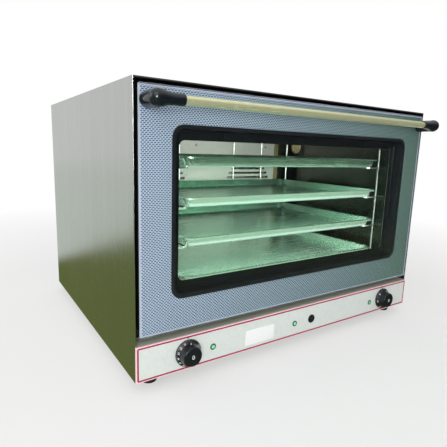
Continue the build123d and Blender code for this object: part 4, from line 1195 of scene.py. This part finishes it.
    def make_inlet(self) -> None:
        """The water inlet: a hexagon inside the back, and a threaded bored spigot outside it.

        The hexagon's radius at an angle is its half width over the cosine of the angle to the
        middle of the nearest side. The thread's radius follows the cosine of the angle less the
        distance over the pitch.
        """
        low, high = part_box("water_inlet")
        centre = Vector(((low.x + high.x) / 2, 0, (low.z + high.z) / 2))
        sides, rings_per_turn = 72, 8
        bevel, bore = self.inlet_bevel, self.inlet_bore
        inward, upward = self.hexagon_chamfer
        angle = ring_angles(sides)
        flat = self.hexagon / np.cos((angle + math.pi / 6) % (math.pi / 3) - math.pi / 6)
        start, end = low.y, high.y
        plate = start + self.hexagon_height
        outside = plate + self.back_sheet
        floor = end - self.inlet_bore_depth
        steps = int(self.inlet_length / self.inlet_pitch * rings_per_turn)
        along = np.linspace(outside + bevel, end - self.inlet_thread_end, steps)[:, None]
        wave = np.cos(angle - TURN * along / self.inlet_pitch)
        thread = self.inlet_radius - self.inlet_thread * (1 - wave)
        rings = [(0.0, start), (self.hexagon - inward, start), (flat, start + upward), (flat, plate),
                 (self.inlet_neck, plate), (self.inlet_neck, outside), *zip(thread, along[:, 0]),
                 (self.inlet_tip, end), (bore + bevel, end), (bore, end - bevel), (bore, floor),
                 (0.0, floor)]
        radius = np.array([ring * np.ones(sides) for ring, _ in rings])
        place = np.array([y * np.ones(sides) for _, y in rings])
        points = np.stack([centre.x + radius * np.cos(angle), place, centre.z + radius * np.sin(angle)], -1)
        piece = make_piece("threaded_water_inlet", (points.reshape(-1, 3), grid_faces(len(rings), sides)),
                           Body.CASING, self.finishes["turned_brass"])
        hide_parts("water_inlet")
        piece.data.set_sharp_from_angle(angle=math.radians(self.inlet_crease))


@dataclass
class Cavity:
    """The baking chamber with its racks, trays, fans, elements, lamp and the wool round it."""

    finishes: Finishes
    lens_radius: float = 24.0 * MM
    lens_depth: float = 7.0 * MM
    lens_wall: float = 2.2 * MM
    flange_width: float = 3.0 * MM
    flange_height: float = 2.5 * MM
    flutes: int = 28
    flute_depth: float = 0.35 * MM
    flute_span: Pair = (0.2, 2.6)
    bulb_radius: float = 11.5 * MM
    bulb_centre: float = 15.0 * MM
    bulb_arc: float = 2.45
    bulb_neck: Pair = (6.2 * MM, 27.0 * MM)
    wool_voxel: float = 9.0 * MM
    wool_waves: Triple = (83.0, 71.0, 97.0)
    wool_phases: Triple = (0.0, 1.0, 2.0)
    wool_inset: float = 1.0 * MM
    wool_relief: float = 1.6 * MM

    def build(self) -> None:
        """Dresses the chamber and makes the lamp and the wool."""
        dress = self.finishes.dress
        dress("cavity_steel", "cavity_ceiling", "cavity_wall_left", "cavity_wall_right", "cavity_back")
        dress("sill_steel", "cavity_floor")
        dress("baffle_steel", "fan_baffle")
        dress("rack_wire", "side_racks", "tray_stop_wires")
        dress("heated_tube", "heating_elements")
        dress("tray_aluminium", "tray_1", "tray_2", "tray_3", "tray_4")
        dress("turned_steel", "fan_wheel_left", "fan_wheel_right", "fan_shaft_left", "fan_shaft_right")
        dress("motor_paint", "fan_motors")
        dress("pale_moulding", "lamp_housing")
        self.make_lens()
        self.make_bulb()
        self.make_wool()

    def make_lens(self) -> None:
        """The lamp's glass: a shallow fluted dome on a round flange.

        The outer radius falls from the flange to the crown along a quarter ellipse. In the dome
        a cosine of the angle times the number of flutes is added to it, which a sine over the
        dome's rings fades in and out.
        """
        low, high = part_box("lamp_lens")
        middle = Vector((high.x, (low.y + high.y) / 2, (low.z + high.z) / 2))
        rings, sides, radius = 14, self.flutes * 6, self.lens_radius
        quarter = np.linspace(0, math.pi / 2, rings)
        foot, lift = radius - self.flange_width, self.flange_height
        dome = np.stack([foot * np.cos(quarter), lift + (self.lens_depth - lift) * np.sin(quarter)], -1)
        inside, sunk, rim, crest = quarter[::-1], 0.4 * MM, 0.6 * MM, 0.5 * MM
        inner = np.stack([(foot - self.lens_wall) * np.cos(inside),
                          sunk + (self.lens_depth - self.lens_wall - sunk) * np.sin(inside)], -1)
        flange = [[foot - self.lens_wall, 0.0], [radius - rim, 0.0], [radius, rim],
                  [radius, lift - crest], [radius - crest, lift]]
        profile = np.concatenate([inner, flange, dome])
        waves = np.zeros((len(profile), sides))
        ripple = self.flute_depth * np.cos(self.flutes * ring_angles(sides))
        waves[-rings:-1] = ripple * np.sin(np.linspace(*self.flute_span, rings - 1))[:, None]
        piece = make_piece("fluted_lamp_lens", turned(profile, middle, Vector((-1, 0, 0)), sides, waves),
                           Body.CASING, self.finishes["lamp_glass"])
        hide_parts("lamp_lens")

    def make_bulb(self) -> None:
        """A round oven bulb in the housing: part of a circle and a narrower neck, turned."""
        low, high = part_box("lamp_housing")
        middle = Vector((low.x, (low.y + high.y) / 2, (low.z + high.z) / 2))
        arc, (neck, end) = np.linspace(0, self.bulb_arc, 18), self.bulb_neck
        globe = self.bulb_radius * np.stack([np.sin(arc), -np.cos(arc)], -1) + [0, self.bulb_centre]
        profile = np.concatenate([globe, [[neck, end], [0.0, end]]])
        make_piece("lamp_bulb", turned(profile, middle, Vector((1, 0, 0)), 36), Body.CASING,
                   self.finishes["lamp_glass"])

    def make_wool(self) -> None:
        """The blanket of mineral wool: the CAD shell drawn in a little and felted.

        Each point moves inwards along its normal by the inset, and by the relief times the size
        of a product of three sines of its place.
        """
        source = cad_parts["insulation"]
        piece = bpy.data.objects.new("wool_blanket", source.data.copy())
        bpy.context.scene.collection.objects.link(piece)
        weld(piece.data)
        felt = piece.modifiers.new("felt", "REMESH")
        felt.mode, felt.voxel_size = "VOXEL", self.wool_voxel
        bpy.context.view_layer.update()
        graph = bpy.context.evaluated_depsgraph_get()
        mesh = bpy.data.meshes.new_from_object(piece.evaluated_get(graph))
        piece.modifiers.clear()
        piece.data = mesh
        points, normals = np.empty((2, len(mesh.vertices) * 3))
        mesh.vertices.foreach_get("co", points)
        mesh.vertex_normals.foreach_get("vector", normals)
        points, normals = points.reshape(-1, 3), normals.reshape(-1, 3)
        wave = np.prod(np.sin(points * self.wool_waves + self.wool_phases), axis=1, keepdims=True)
        points -= normals * (self.wool_inset + self.wool_relief * np.abs(wave))
        mesh.vertices.foreach_set("co", points.ravel())
        mesh.polygons.foreach_set("use_smooth", np.ones(len(mesh.polygons), bool))
        mesh.update()
        piece.data.materials.clear()
        piece.data.materials.append(self.finishes["mineral_wool"])
        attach(piece, Body.CASING.value)
        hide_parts("insulation")


@dataclass
class ControlPanel:
    """The panel with its printed line and bare plate, the knobs, the pilot lights and the button."""

    finishes: Finishes
    line_inset: float = 4.0 * MM
    line_width: float = 3.2 * MM
    line_corner: float = 2.0 * MM
    ink: float = 0.12 * MM
    plate_place: Pair = (-0.1265, 0.0525)
    plate_size: Pair = (0.081, 0.035)
    plate_rise: float = 0.5 * MM
    plate_corner: float = 3.0 * MM
    plate_edge: Pair = (0.4 * MM, 0.3 * MM)
    knob_offset: float = 0.309
    knob_centre: float = 0.059
    skirt_radius: float = 28.0 * MM
    root_radius: float = 22.5 * MM
    skirt: float = 3.0 * MM
    shoulder: float = 8.0 * MM
    rib_front: float = 12.0 * MM
    rib_line_up: float = 23.4 * MM
    rib_line: Pair = (1.3 * MM, 4.6 * MM)
    rib_line_corner: float = 0.5 * MM
    rib_line_relief: Pair = (0.05 * MM, -0.08 * MM)
    mark: tuple[Pair, ...] = ((-2.2 * MM, 90.4 * MM), (2.2 * MM, 90.4 * MM), (0.0 * MM, 87.2 * MM))
    digit: float = 3.9 * MM
    digit_foot: float = 1.1 * MM
    digit_thickness: float = 0.08 * MM
    size_per_height: float = 1.35
    print_lift: float = 0.02 * MM
    face_digit: float = 9.0 * MM
    tick_foot: float = 5.6 * MM
    tick_half: float = 0.16 * MM
    tick_lengths: Pair = (1.6 * MM, 0.9 * MM)
    tick_rise: float = 0.06 * MM
    ticks: int = 4
    sweep: float = 300.0
    front: float = field(init=False)

    def build(self) -> None:
        """Dresses the controls and makes the prints."""
        dress = self.finishes.dress
        dress("panel_enamel_with_margin", "control_panel")
        dress("black_bakelite", "timer_knob", "thermostat_knob", "steam_button", "steam_switch")
        dress("green_collar", "pilot_holders")
        dress("turned_steel", "timer_spindle", "thermostat_spindle")
        dress("pale_moulding", "timer_body", "thermostat_body")
        dress("green_lens", "pilot_lenses")
        low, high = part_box("control_panel")
        self.front = low.y
        self.make_line(low, high)
        self.make_plate()
        self.make_dial(Body.TIMER, -self.knob_offset, range(0, 121, 10))
        self.make_dial(Body.THERMOSTAT, self.knob_offset, (0, *range(50, 301, 50)))
        self.make_pointers(Body.TIMER, -self.knob_offset)
        self.make_pointers(Body.THERMOSTAT, self.knob_offset)

    def make_line(self, low: Vector, high: Vector) -> None:
        """The line printed all round the panel's front: a flat band carried round a rectangle.

        Args:
            low: Lowest corner of the panel's box.
            high: Highest corner of the panel's box.
        """
        width, height = high.x - low.x - 2 * self.line_inset, high.z - low.z - 2 * self.line_inset
        half = self.line_width / 2
        section = np.array([[-half, 0], [-half, self.ink], [half, self.ink], [half, 0]])
        ring = outline(width, height, self.line_corner, 5)
        shape = edging(ring, self.front, (low.z + high.z) / 2, section)
        make_piece("panel_printed_line", shape, Body.CASING,
                   self.finishes["panel_line_ink"], False)

    def make_plate(self) -> None:
        """A bare enamelled plate with rounded corners and a soft edge.

        The edge is a quarter of an ellipse: an outline is drawn in by 1 less the cosine of the
        angle and stands lower by 1 less its sine, each times its own length.
        """
        width, height = self.plate_size
        inward, downward = self.plate_edge
        edge = np.linspace(0, math.pi / 2, 5)
        insets = [0.0, *(inward * (1 - np.cos(edge)))]
        rises = [0.0, *(self.plate_rise - downward * (1 - np.sin(edge)))]
        loops = [outline(width - 2 * inset, height - 2 * inset, self.plate_corner, 8) for inset in insets]
        shape = relief(loops, [self.front - rise for rise in rises], *self.plate_place)
        make_piece("bare_plate", shape, Body.CASING, self.finishes["plate_enamel"])

    def text_shape(self, text: str, height: float) -> Shape:
        """Points and faces of a short number in the default letter shapes.

        Args:
            text: The number.
            height: Height of a digit.

        Returns:
            Flat points centred across, and the faces.
        """
        curve = bpy.data.curves.new(text, "FONT")
        curve.body, curve.size = text, height * self.size_per_height
        curve.extrude = self.digit_thickness / 2
        curve.align_x, curve.resolution_u = "CENTER", 3
        holder = bpy.data.objects.new(text, curve)
        bpy.context.scene.collection.objects.link(holder)
        bpy.context.view_layer.update()
        graph = bpy.context.evaluated_depsgraph_get()
        mesh = bpy.data.meshes.new_from_object(holder.evaluated_get(graph))
        points = np.empty(len(mesh.vertices) * 3)
        mesh.vertices.foreach_get("co", points)
        faces = [list(polygon.vertices) for polygon in mesh.polygons]
        bpy.data.objects.remove(holder)
        bpy.data.curves.remove(curve)
        bpy.data.meshes.remove(mesh)
        return points.reshape(-1, 3), faces

    def on_skirt(self, flat: np.ndarray, x: float, angle: float, base: float) -> np.ndarray:
        """Lays flat points on a knob's sloping skirt.

        A point's across turns it round the knob by that over the radius, its height carries it
        down the slope from the grip to the rim, and its own thickness stands off the slope.

        Args:
            flat: (n, 3) points: across, up, thickness.
            x: The knob's place across.
            angle: Angle of the middle of the number, clockwise from the top.
            base: Distance of the number's foot from the grip along the slope.

        Returns:
            The points on the knob.
        """
        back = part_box("timer_knob")[1].y
        run = np.array([self.skirt_radius - self.root_radius, self.shoulder - self.skirt])
        slope = run / np.linalg.norm(run)
        along, off = base + flat[:, 1], flat[:, 2] + self.print_lift
        radius = self.root_radius + along * slope[0] + off * slope[1]
        depth = self.shoulder - along * slope[1] + off * slope[0]
        turn = angle + flat[:, 0] / (self.root_radius + self.skirt_radius) * 2
        up = self.knob_centre + radius * np.cos(turn)
        return np.stack([x + radius * np.sin(turn), back - depth, up], -1)

    def make_dial(self, body: Body, x: float, numbers: tuple[int, ...] | range) -> None:
        """Numbers and tick marks round one knob, in order against its turning, the first on top.

        Args:
            body: The knob's body.
            x: The knob's place across.
            numbers: Numbers from the first to the last position.
        """
        step = math.radians(self.sweep) / (len(numbers) - 1)
        parts = []
        for k, number in enumerate(numbers):
            flat, faces = self.text_shape(str(number), self.digit)
            parts.append((self.on_skirt(flat, x, -k * step, self.digit_foot), faces))
        tick = np.array([[-1, 0, 0], [1, 0, 0], [1, 1, 0], [-1, 1, 0]])
        for k in range(self.ticks * (len(numbers) - 1) + 1):
            corner = tick * [self.tick_half, self.tick_lengths[k % self.ticks > 0], 1]
            box = np.concatenate([corner, corner + [0, 0, self.tick_rise]])
            parts.append((self.on_skirt(box, x, -k * step / self.ticks, self.tick_foot), capped_faces(2, 4)))
        make_piece(f"{body.value}_dial", join_parts(parts), body, self.finishes["dial_ink"],
                   False)

    def make_pointers(self, body: Body, x: float) -> None:
        """A line on a knob's rib, a number on its face and a small printed triangle over it.

        Args:
            body: The knob's body.
            x: The knob's place across.
        """
        name = body.value
        face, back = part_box(f"{name}_knob")[0].y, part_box(f"{name}_knob")[1].y
        flat, faces = self.text_shape("0", self.face_digit)
        height = flat[:, 1].max() - flat[:, 1].min()
        digit = np.stack([flat[:, 0] + x, face - self.digit_thickness / 2 - flat[:, 2],
                          flat[:, 1] + self.knob_centre - height / 2], -1)
        make_piece(f"{name}_face_number", (digit, faces), body, self.finishes["dial_ink"],
                   False)
        places = [back - self.rib_front + rise for rise in self.rib_line_relief]
        line = relief([outline(*self.rib_line, self.rib_line_corner, 4)] * 2, places, x,
                      self.knob_centre + self.rib_line_up)
        make_piece(f"{name}_grip_line", line, body, self.finishes["dial_ink"], False)
        mark = relief([np.array(self.mark)] * 2, [self.front, self.front - self.ink], x, 0.0)
        make_piece(f"{name}_mark", mark, Body.CASING, self.finishes["label_ink"], False)


@dataclass
class Door:
    """The drop-down door: panes, printed border, frame, handle, hinge springs and its seal."""

    finishes: Finishes
    spring_radius: float = 4.2 * MM
    spring_wire: float = 0.55 * MM
    spring_turns: float = 5.5
    spring_length: float = 7.0 * MM
    spring_points: int = 150
    seal_width: float = 12.0 * MM
    seal_corner: float = 10.0 * MM
    seal_foot: float = 0.8 * MM
    seal_lip: float = 1.2 * MM
    bulb_flatness: float = 1.25
    bulb_overlap: float = 0.55
    edge_width: float = 4.0 * MM
    edge_skin: float = 0.12 * MM
    edge_offset: float = 0.3 * MM
    pane_corner: float = 3.0 * MM

    def build(self) -> None:
        """Dresses the door and makes its springs, seal and ground edge."""
        dress = self.finishes.dress
        dress("door_glass", "door_outer_glass")
        dress("inner_door_glass", "door_inner_glass")
        dress("border_print", "door_border_print")
        dress("black_enamel", "door_frame", "glass_clips")
        dress("door_back_sheet", "door_inner_panel")
        dress("turned_steel", "hinge_lugs", "hinge_pins")
        dress("handle_steel", "handle_bar")
        dress("black_bakelite", "handle_caps")
        self.make_springs()
        self.make_seal()
        self.make_ground_edge()

    def make_springs(self) -> None:
        """A coil spring on each hinge pin: a helix round the pin, closed at both ends.

        The angle grows steadily along the coil and the place along the pin grows with it, held
        back over the first and last half turn.
        """
        low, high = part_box("hinge_springs")
        middle_y, middle_z = (low.y + high.y) / 2, (low.z + high.z) / 2
        share = np.linspace(0, 1, self.spring_points)
        turn = TURN * self.spring_turns * share
        held = 0.5 / self.spring_turns
        along = np.clip((share - held) / (1 - 2 * held), 0, 1)
        place = self.spring_wire + along * (self.spring_length - 2 * self.spring_wire)
        start = high.x - self.spring_length
        y, z = middle_y + self.spring_radius * np.cos(turn), middle_z + self.spring_radius * np.sin(turn)
        coils = [tube(np.stack([side * (start + place), y, z], -1), self.spring_wire, 10)
                 for side in (-1, 1)]
        piece = make_piece("coiled_hinge_springs", join_parts(coils), Body.DOOR,
                           self.finishes["turned_steel"])
        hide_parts("hinge_springs")

    def make_seal(self) -> None:
        """The soft seal: a flat foot on the front frame with a hollow bulb towards the door.

        The bulb is an arc of a flattened circle over the foot, carried round a rounded rectangle.
        """
        low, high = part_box("door_gasket")
        width, height = high.x - low.x - self.seal_width, high.z - low.z - self.seal_width
        ring = outline(width, height, self.seal_corner, 10)
        half, rise = self.seal_width / 2, high.y - low.y
        arc = np.linspace(-self.bulb_overlap, math.pi + self.bulb_overlap, 15)
        bulb = rise / 2 * np.stack([self.bulb_flatness * np.cos(arc), 1 + np.sin(arc)], -1)
        foot = np.array([[half, 0], [half, self.seal_foot], [half - self.seal_lip, self.seal_lip]])
        section = np.concatenate([foot, bulb, foot[::-1] * [-1, 1]])
        shape = edging(ring, high.y, (low.z + high.z) / 2, section)
        piece = make_piece("bulb_door_seal", shape, Body.CASING, self.finishes["silicone_seal"])
        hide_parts("door_gasket")

    def make_ground_edge(self) -> None:
        """The matt ground edge round the outer pane: a thin band carried round its outline."""
        low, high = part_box("door_outer_glass")
        ring = outline(high.x - low.x, high.z - low.z, self.pane_corner, 5)
        half = self.edge_width / 2
        section = np.array([[0, -half], [self.edge_skin, -half], [self.edge_skin, half], [0, half]])
        shape = edging(ring, (low.y + high.y) / 2 + self.edge_offset, (low.z + high.z) / 2, section)
        make_piece("ground_glass_edge", shape, Body.DOOR, self.finishes["ground_edge"], False)


def main() -> None:
    """Builds the studio and every sub-assembly."""
    logging.basicConfig(level=logging.INFO, format="%(name)s %(message)s")
    Studio().build()
    finishes = Finishes()
    finishes.build()
    for assembly in (Casing(finishes), Cavity(finishes), ControlPanel(finishes), Door(finishes)):
        assembly.build()
        LOG.info("%s done", type(assembly).__name__)


if __name__ == "__main__":
    main()
